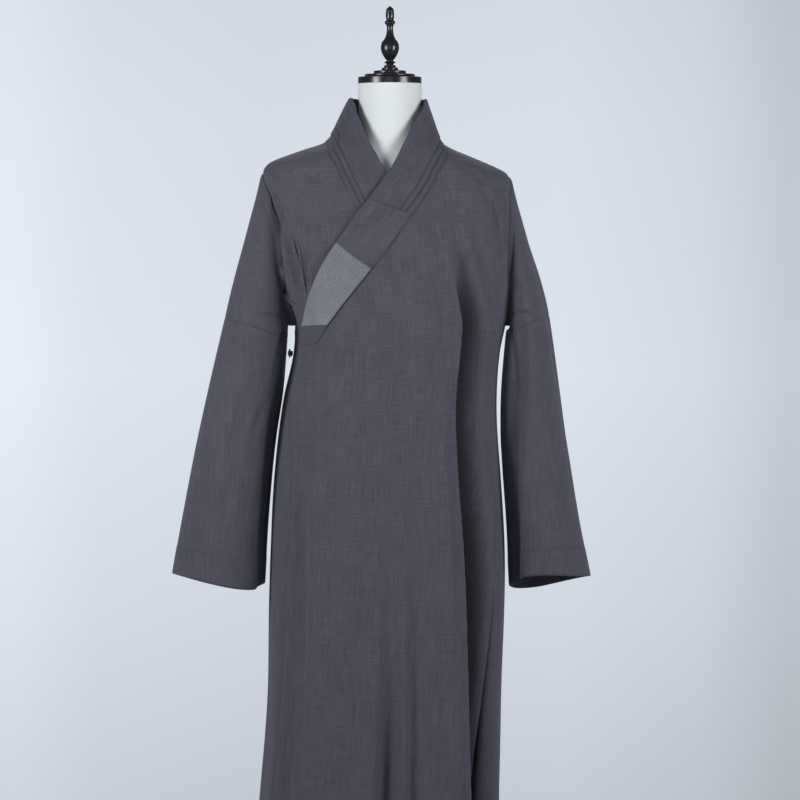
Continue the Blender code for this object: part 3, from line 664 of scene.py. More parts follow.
def make_mesh(name, points, uv, pressed, flip, joined):
    """A mesh from a grid; a joined grid closes on its first column."""
    rows, columns = points.shape[:2]
    index = np.arange(rows * columns).reshape(rows, columns)
    if joined:
        index = np.hstack([index, index[:, :1]])

    def corners(grid):
        four = [grid[:-1, :-1], grid[:-1, 1:], grid[1:, 1:], grid[1:, :-1]]
        return np.stack(four[::-1] if flip else four, axis=2)

    faces = corners(index).reshape(-1, 4)
    mesh = bpy.data.meshes.new(name)
    mesh.from_pydata(points.reshape(-1, 3).tolist(), [], faces.tolist())
    layer = mesh.uv_layers.new(name="cloth")
    layer.data.foreach_set("uv", corners(uv).reshape(-1))
    # the 'pressed' attribute holds painted shade for the cloth's colour
    shade = mesh.attributes.new("pressed", "FLOAT", "POINT")
    shade.data.foreach_set("value", pressed.reshape(-1).astype(np.float32))
    mesh.shade_smooth()
    return mesh


def add_piece(name, mesh, material, nodes):
    """Put a finished mesh or curve in the scene, in the place of the solids named."""
    piece = bpy.data.objects.new(name, mesh)
    mesh.materials.append(material)
    scene.collection.objects.link(piece)
    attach(piece, "root")
    if nodes:
        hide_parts(*nodes)
    made.append(name)
    return piece


def add_cloth(name, points, uv, material, thickness=CLOTH, lines=(),
              pressed=None, flip=False, joined=False):
    """A sheet of cloth that stands for the solid of the same name in the frame."""
    # painted shade along the stitch lines, joined by any painted fold shade passed in as pressed
    shade = near_lines(points, lines)
    if pressed is not None:
        shade = np.maximum(shade, pressed)
    mesh = make_mesh(name + "_mesh", points, uv, shade, flip, joined)
    piece = add_piece(name + "_cloth", mesh, material, [name])
    full = piece.vertex_groups.new(name="full")
    inside = np.ones(points.shape[:2], dtype=bool)
    inside[[0, -1]] = False
    if not joined:
        inside[:, [0, -1]] = False
    full.add(np.flatnonzero(inside).tolist(), 1.0, "REPLACE")
    wall = piece.modifiers.new("thickness", "SOLIDIFY")
    wall.thickness = thickness
    wall.offset = 0.0
    wall.vertex_group = "full"
    wall.thickness_vertex_group = THIN_EDGE
    area = 0.5 * sum(np.linalg.norm(np.cross(a, b), axis=-1).sum() for a, b in (
        (np.diff(points, axis=0)[:, :-1], np.diff(points, axis=1)[:-1]),
        (np.diff(points, axis=0)[:, 1:], np.diff(points, axis=1)[1:])))
    print(f"{name}: {len(mesh.polygons)} faces, {area:.3f} square metres of cloth")
    return piece


print("cloth", CLOTH * 1000, "mm thick")

# %% [markdown]
# ## Cloth, thread and the other finishes
#
# The cloth is a fine plain weave of melange yarn: short slubs, a little lighter or darker,
# run along both the warp and the weft. Stretched noise in the cloth's own coordinates
# makes the slubs, and two crossed sines make the weave that the light catches. A weak,
# cool sheen stands for the fibres' nap.

# %% Cloth material
THREAD_PITCH = 0.0011                   # two threads of the weave
SLUB_COLUMNS = ("streaks a metre across", "streaks a metre along", "strength")
WARP_SLUBS = (430, 18, 0.40)
WEFT_SLUBS = (20, 400, 0.27)
CLOUD_STRENGTH = 0.20
WEAVE_STRENGTH = 0.10
YARN_RANGE = (0.53, 1.05)               # sums of the patterns that give the darkest and lightest
# painted shade: how far the 'pressed' attribute darkens the cloth's colour
PAINTED_SHADE_RAMP = ((0.0, 1.0), (1.0, 0.34))
BUMP = 0.35
BUMP_DEPTH = 0.00016
SHEEN_TINT = (0.86, 0.88, 1.0, 1)


def start_material(name):
    material = bpy.data.materials.new(name)
    material.use_nodes = True
    return material, material.node_tree, material.node_tree.nodes["Principled BSDF"]


def streaks(tree, uv, across, along, seed):
    """Noise drawn out along the cloth, from 0 to 1."""
    place = node(tree, "Mapping", Vector=uv, Location=(seed, seed * 0.7, 0),
                 Scale=(across, along, 1))
    return node(tree, "TexNoise", Vector=place.outputs[0], Scale=1.0, Detail=2.0,
                Roughness=0.6).outputs["Fac"]


def weave_height(tree, uv, pitch):
    """Over and under of a plain weave."""
    split = node(tree, "SeparateXYZ", Vector=uv)
    turn = 2 * np.pi / pitch
    warp = math(tree, "SINE", math(tree, "MULTIPLY", split.outputs["X"], turn))
    weft = math(tree, "SINE", math(tree, "MULTIPLY", split.outputs["Y"], turn))
    return math(tree, "MULTIPLY", warp, weft)


def cloth_material(name, dark, light, roughness, sheen):
    """Melange plain weave between a dark and a light yarn colour."""
    material, tree, shader = start_material(name)
    uv = node(tree, "UVMap")
    uv.uv_map = "cloth"
    uv = uv.outputs["UV"]
    warp = streaks(tree, uv, WARP_SLUBS[0], WARP_SLUBS[1], 3.0)
    weft = streaks(tree, uv, WEFT_SLUBS[0], WEFT_SLUBS[1], 9.0)
    yarn = math(tree, "ADD", math(tree, "MULTIPLY", warp, WARP_SLUBS[2] * 2),
                math(tree, "MULTIPLY", weft, WEFT_SLUBS[2] * 2))
    cloud = node(tree, "TexNoise", Vector=uv, Scale=14.0, Detail=3.0).outputs["Fac"]
    weave = weave_height(tree, uv, THREAD_PITCH)
    for pattern, strength in ((cloud, CLOUD_STRENGTH), (weave, WEAVE_STRENGTH)):
        yarn = math(tree, "ADD", yarn, math(tree, "MULTIPLY", pattern, strength))
    share = node(tree, "MapRange", Value=yarn, From_Min=YARN_RANGE[0], From_Max=YARN_RANGE[1])
    colour = blend(tree, dark, light, share.outputs["Result"], "MIX")
    # painted shade: the 'pressed' attribute darkens the base colour along stitch lines and in the
    # deepest folds
    pressed = node(tree, "Attribute")
    pressed.attribute_name = "pressed"
    shade = ramp_node(tree, pressed.outputs["Fac"], PAINTED_SHADE_RAMP)
    relief = math(tree, "ADD", weave, math(tree, "MULTIPLY", warp, 1.5))
    bumped = node(tree, "Bump", Height=relief, Strength=BUMP, Distance=BUMP_DEPTH)
    for socket, value in (("Base Color", blend(tree, colour, shade)),
                          ("Normal", bumped.outputs[0]), ("Roughness", roughness),
                          ("Specular IOR Level", 0.30), ("Sheen Weight", sheen),
                          ("Sheen Roughness", 0.45), ("Sheen Tint", SHEEN_TINT)):
        feed(tree, shader.inputs[socket], value)
    return material


robe_cloth = cloth_material("charcoal_melange", (0.044, 0.0425, 0.056), (0.084, 0.082, 0.108),
                            0.82, 0.22)
patch_ground = cloth_material("patch_ground", (0.070, 0.070, 0.078), (0.120, 0.120, 0.132),
                              0.85, 0.20)
print("yarn pitch", THREAD_PITCH * 1000, "mm")

# %% [markdown]
# Thread is twisted, so it shines a little along its length; the form's cover is a matte
# white jersey; the cap is lacquered wood; the stand is powder coated. Each gets the fine
# grain that its surface has.

# %% Thread, cover, lacquer and steel
FINISH_COLUMNS = ("name", "colour", "variation", "grains a metre", "roughness", "bump",
                  "bump depth", "sheen")
FINISHES = (
    ("patch_thread", (0.36, 0.37, 0.40), 0.12, 2400, 0.60, 0.40, 0.00010, 0.30),
    ("dark_thread", (0.040, 0.039, 0.047), 0.10, 2400, 0.60, 0.40, 0.00010, 0.0),
    ("cord_cloth", (0.062, 0.060, 0.073), 0.20, 1500, 0.80, 0.50, 0.00015, 0.0),
    ("form_cover_jersey", (0.66, 0.69, 0.695), 0.02, 900, 0.75, 0.12, 0.00015, 0.15),
    ("black_lacquer_gloss", (0.011, 0.011, 0.012), 0.10, 120, 0.24, 0.02, 0.00020, 0.0),
    ("powder_coat", (0.018, 0.018, 0.019), 0.15, 1100, 0.42, 0.25, 0.00010, 0.0),
)
BROAD_SHARE = 1 / 60                    # grains a metre of the broad noise against the fine


def grained_material(name, colour, variation, grain, roughness, bump, bump_depth, sheen):
    """A solid finish with a fine grain in its colour and surface."""
    material, tree, shader = start_material(name)
    place = node(tree, "TexCoord").outputs["Object"]
    fine = node(tree, "TexNoise", Vector=place, Scale=grain, Detail=4.0).outputs["Fac"]
    broad = node(tree, "TexNoise", Vector=place, Scale=grain * BROAD_SHARE, Detail=2.0)
    both = math(tree, "ADD", math(tree, "MULTIPLY", fine, 0.5),
                math(tree, "MULTIPLY", broad.outputs["Fac"], 0.5))
    tone = ramp_node(tree, both, ((0.30, 1 - variation), (0.70, 1 + variation)))
    bumped = node(tree, "Bump", Height=fine, Strength=bump, Distance=bump_depth)
    for socket, value in (("Base Color", blend(tree, colour, tone)), ("Roughness", roughness),
                          ("Normal", bumped.outputs[0]), ("Sheen Weight", sheen)):
        feed(tree, shader.inputs[socket], value)
    return material


finishes = [grained_material(*row) for row in FINISHES]
patch_thread, dark_thread, cord_cloth, form_cover, black_lacquer, stand_steel = finishes
print("finishes:", [material.name for material in finishes])

# %% [markdown]
# ## Seams between panels
#
# At every seam the cloth turns in: its edge dips below the surface over a few millimetres,
# and the two dips read as one seam line. At an armhole the dip is deeper and rounder, so
# the panel rolls in over the sleeve. The neck seam disappears under the collar. Hardly any
# light gets down into the largest folds, so shade is painted into the cloth's colour there
# as well.

# %% Dips along the edges
SEAM_DIP = (0.0026, 0.0007)             # width and depth of a seam's dip
ARMHOLE_DIP_COLUMNS = ("width", "depth")
ARMHOLE_DIPS = ((0.0120, 0.0050), (0.0080, 0.0035))     # wearer's right and left
DIP_AT_TIP = 0.10                       # share of an armhole's dip that is left at its tip
DIP_GROWS = 0.12                        # metres below the tip to the whole dip
SEAM_FADES = 0.02                       # metres over which a side seam ends at an armhole
SLIT_FADES = 0.05                       # and at its slit
NECK_DIP = (0.0060, 0.0016)
# painted shade in the deepest folds, carried by the 'pressed' attribute
FOLD_SHADE = (0.008, 0.022)             # shaded from this depth on, fully this much deeper


def dip(distance, width, depth):
    return -depth * (1 - smoothstep(distance / width)) ** 1.5


def armhole_dip(left, height):
    """Width and depth of an armhole's dip: shallow on the shoulder, deepest at the armpit."""
    width, depth = np.where(np.asarray(left)[..., None], *ARMHOLE_DIPS[::-1]).T
    return width.T, depth.T * mix(DIP_AT_TIP, 1, smoothstep((TIP_RIGHT - height) / DIP_GROWS))


def armhole_loop(side, angle, sunk=0.0):
    """The armhole's edge: angle 0 is the shoulder's tip, -90 the front, 180 the underarm.

    It is sunk by that much more than the panels' dip, or lies on the plain surface at 0.
    """
    tip = TIP_LEFT if side > 0 else TIP_RIGHT
    turn = np.radians(angle)
    height = (tip + UNDERARM) / 2 + (tip - UNDERARM) / 2 * np.cos(turn)
    bearing = armhole_bearing(height, 90.0 * side, np.where(np.sin(turn) < 0, 1, -1))
    lift = -armhole_dip(side > 0, height)[1] - sunk if sunk else 0 * height
    return cloth_point(bearing, height, lift)[0]


ARMHOLES = np.concatenate([armhole_loop(side, np.linspace(0, 360, 700)) for side in (1, -1)])


def side_dip(distance, height):
    """Dip along a panel's side seam and shoulder seam."""
    above = smoothstep((height - UNDERARM) / SEAM_FADES)
    at_armhole = above * smoothstep((TIP_LEFT - height) / SEAM_FADES)
    seam = dip(distance, *SEAM_DIP) * smoothstep((height - SLIT_TOP + SLIT_FADES) / SLIT_FADES)
    return seam * (1 - at_armhole)


def cloth_coordinates(bearing, height, centre):
    """Cloth coordinates in metres: round the body from a centre line, and up."""
    points = plain_point(bearing, height)
    across = lengths(points, 1)
    middle = np.argmin(abs(bearing - centre), axis=1)
    across -= np.take_along_axis(across, middle[:, None], 1)
    return np.stack([across, height], axis=-1)


def build_panel(name, bearing, height, under, first_dip, last_dip, centre, neck=1.0):
    """A front or the back, with its edges turned in."""
    base = under_lift(bearing, height) if under else np.zeros(bearing.shape)
    flat = plain_point(bearing, height)
    from_first = lengths(flat, 1)
    from_last = from_first[:, -1:] - from_first
    from_hem = lengths(flat, 0)
    from_neck = from_hem[-1:] - from_hem
    lift = base + neck * dip(from_neck, *NECK_DIP)
    lift = lift + dip(distance_to(flat, ARMHOLES), *armhole_dip(flat[..., 0] > 0, height))
    if first_dip:
        lift += side_dip(from_first, height)
    if last_dip:
        lift += side_dip(from_last, height)
    points = cloth_point(bearing, height, lift)[0]
    # painted shade: the cloth's colour is darkened where the largest folds are deepest, through the
    # 'pressed' attribute
    shade = smoothstep((fold_depth(bearing, height) - FOLD_SHADE[0]) / FOLD_SHADE[1])
    return add_cloth(name, points, cloth_coordinates(bearing, height, centre), robe_cloth,
                     pressed=shade)


print("seam dips", SEAM_DIP[1] * 1000, "mm, armholes roll in", ARMHOLE_DIPS[0][1] * 1000, "mm")

# %% [markdown]
# ## The over front
#
# The over front is the largest panel: it hangs from the wearer's left shoulder, crosses the
# chest under the collar and closes at the right side, where it ends in a free edge. Its
# grid fans out from the long collar seam to the hem.

# %% Over front
NECK_TUCK = 0.972                       # panels reach this far under the collar
COLLAR_END = 0.94                       # and this far across the end of the band
END_SINK = 0.0003
END_ROWS = 26
OVER_GRID = (150, 250)                  # columns along the neck seam and rows up the side
stations = spread_stations(FIRST_STATION, 0, OVER_GRID[0])
seam_bearing, seam_height = band_place(stations, NECK_TUCK)
end_bearing, end_height = band_place(np.full(END_ROWS, FIRST_STATION),
                                     np.linspace(0, COLLAR_END, END_ROWS))
seam = (np.concatenate([end_bearing, seam_bearing]),
        np.concatenate([end_height - END_SINK, seam_height]))
tucked = np.concatenate([0 * end_height, smoothstep(stations - FIRST_STATION)])
free_edge = FREE_EDGE + ((seam[1][0], seam[0][0]),)
bearing, height = panel_grid(
    lambda h: read_smoothly(free_edge, h)[0], lambda h: left_edge(h, 1), seam,
    side_heights(seam[1][-1], OVER_GRID[1]))
front_over = build_panel("front_over", bearing, height, False, False, True, 0, tucked)

# %% [markdown]
# ## The under front
#
# The under front hangs from the wearer's right shoulder and disappears under the over
# front. Only its shoulder, its side and a strip beside the armpit show.

# %% Under front
UNDER_GRID = (110, 220)
stations = spread_stations(NECK_STATIONS, LAST_STATION, UNDER_GRID[0])
seam_bearing, seam_height = band_place(stations, NECK_TUCK)
seam = (seam_bearing - 360, seam_height)
under_edge = seam[0][-1]
bearing, height = panel_grid(
    lambda h: right_edge(h, 1), lambda h: under_edge + 0 * h, seam,
    side_heights(seam[1][0], UNDER_GRID[1]))
front_under = build_panel("front_under", bearing, height, True, True, False, -90)

# %% [markdown]
# ## The back
#
# The back is one panel from side seam to side seam, with deep, soft folds that fall from
# the shoulder blades.

# %% Back
BACK_GRID = (176, 240)
stations = spread_stations(0, NECK_STATIONS, BACK_GRID[0])
seam = band_place(stations, NECK_TUCK)
bearing, height = panel_grid(
    lambda h: left_edge(h, -1), lambda h: right_edge(h, -1) + 360, seam,
    side_heights(seam[1][0], BACK_GRID[1]))
back = build_panel("back", bearing, height, False, True, True, 180)

# %% [markdown]
# ## Sleeves
#
# A sleeve is a wide tube. Each ring has its outer and inner edge as seen from the front, a
# half depth and how far its back hangs lower at the cuff. The upper sleeve starts inside
# the armhole; the extension is sewn on level with the underarm, and the seam is a faint line.

# %% Sleeve rings
SLEEVE_COLUMNS = ("ring", "outer x", "outer height", "inner x", "inner height", "half depth",
                  "back drop")
SLEEVE_LEFT = (
    (0, 0.1985, 1.3415, 0.1940, 1.0950, 0.0490, 0.000),
    (1, 0.2090, 1.3300, 0.2060, 1.0895, 0.0500, 0.000),
    (2, 0.2255, 1.2850, 0.2090, 1.0820, 0.0600, 0.000),
    (3, 0.2433, 1.2220, 0.2090, 1.0760, 0.0680, 0.000),
    (4, 0.2625, 1.1625, 0.2060, 1.0710, 0.0750, 0.000),
    (5, 0.2775, 1.1000, 0.2030, 1.0660, 0.0790, 0.000),
    (6, 0.2940, 0.9875, 0.1955, 0.9750, 0.0820, 0.000),
    (7, 0.3055, 0.9050, 0.1945, 0.8900, 0.0830, 0.000),
    (8, 0.3145, 0.8475, 0.1985, 0.8200, 0.0840, 0.002),
    (9, 0.3310, 0.7425, 0.2050, 0.7250, 0.0840, 0.006),
    (10, 0.3500, 0.6445, 0.2090, 0.6300, 0.0820, 0.015),
)
SLEEVE_RIGHT = (
    (0, 0.2165, 1.3465, 0.1640, 1.0950, 0.0490, 0.000),
    (1, 0.2240, 1.3370, 0.1740, 1.0895, 0.0500, 0.000),
    (2, 0.2365, 1.2980, 0.1780, 1.0820, 0.0600, 0.000),
    (3, 0.2555, 1.2255, 0.1790, 1.0760, 0.0680, 0.000),
    (4, 0.2740, 1.1550, 0.1795, 1.0700, 0.0750, 0.000),
    (5, 0.2880, 1.0960, 0.1800, 1.0600, 0.0790, 0.000),
    (6, 0.3140, 0.9875, 0.1870, 0.9750, 0.0820, 0.000),
    (7, 0.3340, 0.9000, 0.1995, 0.8900, 0.0830, 0.000),
    (8, 0.3448, 0.8475, 0.2070, 0.8200, 0.0840, -0.002),
    (9, 0.3640, 0.7425, 0.2145, 0.7250, 0.0840, -0.006),
    (10, 0.3798, 0.6498, 0.2185, 0.6300, 0.0820, -0.016),
)
EXTENSION_RING = 5
CUFF_RING = 10
CUFF_STITCH_RING = 9.48                 # about 50 mm above the cuff's edge
SLEEVE_FOLD_COLUMNS = ("angle at first ring", "angle at cuff", "half width", "depth",
                       "first ring")
SLEEVE_FOLDS_LEFT = ((-95.0, -160.0, 26.0, 0.016, 4), (70.0, 100.0, 30.0, 0.010, 5))
SLEEVE_FOLDS_RIGHT = ((-140.0, -165.0, 26.0, 0.010, 4), (80.0, 110.0, 30.0, 0.012, 5))
SLEEVE_CREASE_COLUMNS = ("angle0", "ring0", "angle1", "ring1", "bow", "depth", "width before",
                         "width after", "fade")
SLEEVE_CREASES_LEFT = (
    (-150, 2.2, -60, 5.4, 0.010, 0.0045, 0.014, 0.016, 0.35),
    (-165, 3.2, -100, 6.5, 0.008, 0.0050, 0.014, 0.012, 0.35),
    (-120, 1.2, -70, 3.8, 0.006, 0.0035, 0.016, 0.014, 0.40),
    (-60, 5.5, -48, 10.3, 0.006, 0.0030, 0.022, 0.018, 0.35),
    (-25, 3.0, -22, 7.5, 0.004, 0.0022, 0.020, 0.018, 0.45),
    (-178, 5.2, -170, 9.0, 0.004, 0.0060, 0.012, 0.014, 0.35),
    (120, 2.5, 60, 5.5, -0.008, 0.0045, 0.014, 0.016, 0.35),
    (150, 3.4, 95, 7.0, -0.008, 0.0050, 0.014, 0.012, 0.35),
    (45, 5.6, 52, 10.2, 0.005, 0.0035, 0.020, 0.018, 0.40),
)
SLEEVE_CREASES_RIGHT = (
    (-155, 2.4, -70, 5.0, 0.008, 0.0035, 0.014, 0.016, 0.35),
    (-165, 3.6, -110, 7.2, 0.008, 0.0055, 0.014, 0.012, 0.35),
    (-95, 4.6, -80, 10.3, 0.006, 0.0030, 0.024, 0.022, 0.40),
    (-40, 3.0, -30, 8.5, 0.004, 0.0020, 0.024, 0.020, 0.45),
    (-172, 5.2, -176, 10.2, 0.004, 0.0060, 0.012, 0.014, 0.35),
    (125, 2.4, 65, 5.4, -0.008, 0.0045, 0.014, 0.016, 0.35),
    (155, 3.5, 100, 7.2, -0.008, 0.0050, 0.014, 0.012, 0.35),
    (48, 5.4, 40, 10.2, 0.005, 0.0035, 0.020, 0.018, 0.40),
)
SLEEVE_WAVE_COLUMNS = ("height of wave", "waves round", "radians a ring", "shift")
SLEEVE_WAVES = ((0.0006, 4, 1.1, 0), (0.0004, 7, -0.7, 1))
SLEEVE_DEPTH = 0.075
RING_PITCH = 0.075                      # metres down the sleeve for a ring, about
ARMHOLE_REACH = 2.2                     # rings over which a sleeve leaves its armhole's shape
TURN_REACH = 1.0                        # rings over which it comes out of the seam
SLEEVE_TUCK = 0.0006


def sleeve_pressed(angle, ring, folds, creases):
    """How far the sleeve is pressed in towards its axis."""
    total = 0.0
    for first, last, width, depth, start in folds:
        grown = smoothstep((ring - start) / 3)
        line = mix(first, last, (ring - start) / (CUFF_RING - start))
        distance = (angle - line + 180) % 360 - 180
        total = total + depth * grown * hump(distance, width, width)
    arm = SLEEVE_DEPTH * np.pi / 180
    for angle0, ring0, angle1, ring1, bow, depth, before, after, fade in creases:
        round_it = arm * ((angle - angle0 + 180) % 360 - 180)
        down = RING_PITCH * (ring - ring0)
        run = np.array([arm * (angle1 - angle0), RING_PITCH * (ring1 - ring0)])
        length = np.hypot(*run)
        run = run / length
        along = (round_it * run[0] + down * run[1]) / length
        across = down * run[0] - round_it * run[1] - bow * 4 * along * (1 - along)
        total = total + depth * crease_line(across, along, before, after, fade)
    for size, around, along, shift in SLEEVE_WAVES:
        total = total + size * np.sin(around * np.radians(angle) + along * ring + shift)
    return total


def tube_point(side, angle, ring, lift=0.0):
    """Points of a plain sleeve: angle 0 is its outer edge and -90 its front."""
    table, folds, creases, mirror = side
    outer_x, outer_z, inner_x, inner_z, depth, drop = read_smoothly(table, ring)
    turn = np.radians(angle)
    size = 1 - sleeve_pressed(angle, ring, folds, creases) / SLEEVE_DEPTH
    size = size + np.asarray(lift) / SLEEVE_DEPTH
    x = (outer_x + inner_x) / 2 + (outer_x - inner_x) / 2 * np.cos(turn) * size
    y = depth * np.sin(turn) * size
    tilt = -drop * np.sin(turn) * (1.3 - np.cos(turn)) / 2
    z = (outer_z + inner_z) / 2 + (outer_z - inner_z) / 2 * np.cos(turn) * size + tilt
    return np.stack([mirror * x, y, z], axis=-1)


def sleeve_point(side, angle, ring, lift=0.0):
    """Points of a sleeve, whose top is drawn to its armhole and turned in there."""
    loop = armhole_loop(side[3], angle)
    turned_in = armhole_loop(side[3], angle, SLEEVE_TUCK)
    drawn = (1 - smoothstep(ring / ARMHOLE_REACH))[..., None]
    turned = ((1 - smoothstep(ring / TURN_REACH)) ** 1.5)[..., None]
    return (tube_point(side, angle, ring, lift) + (loop - tube_point(side, angle, 0 * ring)) * drawn
            + (turned_in - loop) * turned)


LEFT = (SLEEVE_LEFT, SLEEVE_FOLDS_LEFT, SLEEVE_CREASES_LEFT, 1)
RIGHT = (SLEEVE_RIGHT, SLEEVE_FOLDS_RIGHT, SLEEVE_CREASES_RIGHT, -1)
print("cuff edge:", np.round(sleeve_point(LEFT, np.zeros(1), np.full(1, 10.0)), 3))

# %% Sleeve pieces
SLEEVE_SIDES = 144
CUFF_ANGLE = np.linspace(0, 360, 500)
SLEEVE_SEAM_DIP = (0.004, 0.00015)      # width and depth
SEAM_OVERLAP = 0.001                    # rings by which the two stretches pass each other
CUFF_STEP = 0.0005                      # the turned-up hem stands this far out
GRAIN_SHIFT = 0.37                      # metres a ring, so the stretches' weaves differ


def build_sleeve(name, side, first, last, rows):
    rings = np.linspace(first, last, rows)
    angle = np.arange(SLEEVE_SIDES) * 360 / SLEEVE_SIDES
    angle, ring = np.meshgrid(angle, rings)
    seam = abs(ring - EXTENSION_RING) * RING_PITCH
    lift = dip(seam, *SLEEVE_SEAM_DIP)
    lift = lift + CUFF_STEP * smoothstep((ring - CUFF_STITCH_RING) / 0.03)
    points = sleeve_point(side, angle, ring, lift)
    stitches = sleeve_point(side, CUFF_ANGLE, 0 * CUFF_ANGLE + CUFF_STITCH_RING)
    closed = np.concatenate([points, points[:, :1]], axis=1)
    uv = np.stack([lengths(closed, 1), lengths(closed, 0)], axis=-1)
    uv[..., 0] += GRAIN_SHIFT * first
    uv[..., 1] += RING_PITCH * first
    flip = side[3] > 0
    return add_cloth(name, points, uv, robe_cloth, lines=[stitches], flip=flip, joined=True)


for word, side in (("left", LEFT), ("right", RIGHT)):
    upper = build_sleeve(f"sleeve_{word}_upper", side, 0, EXTENSION_RING + SEAM_OVERLAP, 80)
    lower = build_sleeve(f"sleeve_{word}_extension", side, EXTENSION_RING - SEAM_OVERLAP,
                         CUFF_RING, 100)

# %% [markdown]
# ## Collar, guard and patch
#
# The collar is a doubled band, so it is thicker than the panels and its free edge is a
# fold. The guard lies over it from the middle of the chest round the neck; the patch lies
# over its lower end. All three follow the same stations, each a little further out.

# %% Collar bands
COLLAR_LIFT = 0.0004
COLLAR_CLOTH = 0.0024
COLLAR_SEAM = 0.968                     # where the seam's stitches press in, in widths
ROUNDING_COLUMNS = ("width", "depth")
FREE_ROUNDING = (0.004, 0.0006)
SEAM_ROUNDING = (0.003, 0.0005)
END_ROUNDING = (0.003, 0.0004)
TAIL_ROUNDING = (0.016, 0.0007)         # the collar's lower end sinks into the front
PRESSING = 0.0004
COLLAR_GRAIN = (1.7, 0.3)               # moves the weave, so it differs from the panels'
OVERLAY_CLOTH = 0.0010
OVERLAY_LIFT = 0.0028
GUARD_ENDS = (-5, NECK_STATIONS + 5)
GUARD_WIDTH = 0.85                      # in collar widths from the free edge
GUARD_STITCHES = (0.708, 0.838)
PATCH_ENDS = (-11, -7)
PATCH_WIDTH = 0.965
GRID_COLUMNS = ("rows along the band", "columns across it")
COLLAR_GRID = (420, 40)
GUARD_GRID = (300, 36)
PATCH_GRID = (90, 60)


def band_points(station, t, lift):
    """Points on the collar, and the directions straight out."""
    bearing, height = band_place(station, t)
    sunk = np.where(station > NECK_STATIONS, under_lift(bearing - 360, height), 0)
    return cloth_point(bearing, height, sunk + lift)


def band_line(first, last, t, lift, count=600):
    station = np.linspace(first, last, count)
    return band_points(station, np.full(count, t), lift)


def build_band(name, first, last, count, across, t_last, lift, thickness, material, slot, lines,
               start_dip=END_ROUNDING):
    station = spread_stations(first, last, count, 0.5)
    t = np.linspace(0, t_last, across)
    grid_station, grid_t = np.meshgrid(station, t, indexing="ij")
    flat, _ = band_points(grid_station, grid_t, 0)
    from_free = lengths(flat, 1)
    from_seam = from_free[:, -1:] - from_free
    from_start = lengths(flat, 0)
    from_end = from_start[-1:] - from_start
    rounding = dip(from_free, *FREE_ROUNDING) + dip(from_seam, *SEAM_ROUNDING)
    rounding = rounding + dip(from_start, *start_dip) + dip(from_end, *END_ROUNDING)
    points, out = band_points(grid_station, grid_t, lift + rounding)
    pressed = near_lines(points, lines)
    points = points - out * (PRESSING * pressed)[..., None]
    uv = np.stack([from_free, from_start], axis=-1) + np.array(COLLAR_GRAIN)
    return add_cloth(name, points, uv, material, thickness, lines)


seam_stitches = [band_line(FIRST_STATION, LAST_STATION, COLLAR_SEAM, COLLAR_LIFT)[0]]
overlay_top = OVERLAY_LIFT + OVERLAY_CLOTH / 2
guard_stitches = [band_line(*GUARD_ENDS, t, OVERLAY_LIFT)[0] for t in GUARD_STITCHES]
collar = build_band("collar", FIRST_STATION, LAST_STATION, *COLLAR_GRID, 1.0, COLLAR_LIFT,
                    COLLAR_CLOTH, robe_cloth, "robe_cloth", seam_stitches, TAIL_ROUNDING)
guard = build_band("collar_guard", *GUARD_ENDS, *GUARD_GRID, GUARD_WIDTH, OVERLAY_LIFT,
                   OVERLAY_CLOTH, robe_cloth, "robe_cloth", guard_stitches)
patch = build_band("stitched_patch", *PATCH_ENDS, *PATCH_GRID, PATCH_WIDTH, OVERLAY_LIFT,
                   OVERLAY_CLOTH, patch_ground, "patch_cloth", [])

# %% [markdown]
# ## Stitches
#
# Stitches are real here: each is a short, slightly arched length of thread, and a run of
# them follows a line on the cloth. All stitches of one kind are joined in one mesh. The
# patch is covered by rows of light running stitches set half a stitch apart, as in
# hand-quilted mending; dark stitches hold the collar and the hems.

# %% Stitch maker
STITCH_SIDES = 5
STITCH_PROFILE = ((-0.50, 0.45, -0.3), (-0.30, 1.0, 0.5), (0.30, 1.0, 0.5), (0.50, 0.45, -0.3))


def stitch_run(line, out, long, gap, radius, shift=0.0):
    """Corner points of the stitches along one line: stitches, rings, sides, xyz."""
    run = np.concatenate([[0], np.cumsum(np.linalg.norm(np.diff(line, axis=0), axis=1))])
    middles = np.arange(long * 0.6 + shift * (long + gap), run[-1] - long * 0.6, long + gap)

    def read(values, place):
        return np.stack([np.interp(place, run, values[:, i]) for i in range(3)], axis=-1)

    tangent = read(line, middles + long / 2) - read(line, middles - long / 2)
    tangent /= np.linalg.norm(tangent, axis=-1, keepdims=True)
    up = read(out, middles)
    side = np.cross(up, tangent)
    turn = np.arange(STITCH_SIDES) * 2 * np.pi / STITCH_SIDES
    rings = []
    for place, size, rise in STITCH_PROFILE:
        centre = read(line, middles + place * long) + up * rise * radius
        ring = (centre[:, None] + side[:, None] * (radius * size * np.cos(turn))[:, None]
                + up[:, None] * (radius * size * np.sin(turn))[:, None])
        rings.append(ring)
    return np.stack(rings, axis=1)


def add_stitches(name, runs, material):
    """Join the stitches of many runs in one piece."""
    corners = np.concatenate(runs)
    rings = len(STITCH_PROFILE)
    faces = []
    for ring in range(rings - 1):
        for i in range(STITCH_SIDES):
            j = (i + 1) % STITCH_SIDES
            low, high = ring * STITCH_SIDES, (ring + 1) * STITCH_SIDES
            faces.append((low + i, low + j, high + j, high + i))
    size = rings * STITCH_SIDES
    first_cap = tuple(reversed(range(STITCH_SIDES)))
    last_cap = tuple(range(size - STITCH_SIDES, size))
    every = [tuple(k * size + v for v in face)
             for k in range(len(corners)) for face in [*faces, first_cap, last_cap]]
    mesh = bpy.data.meshes.new(name)
    mesh.from_pydata(corners.reshape(-1, 3).tolist(), [], every)
    mesh.shade_smooth()
    print(f"{name}: {len(corners)} stitches")
    return add_piece(name, mesh, material, [])


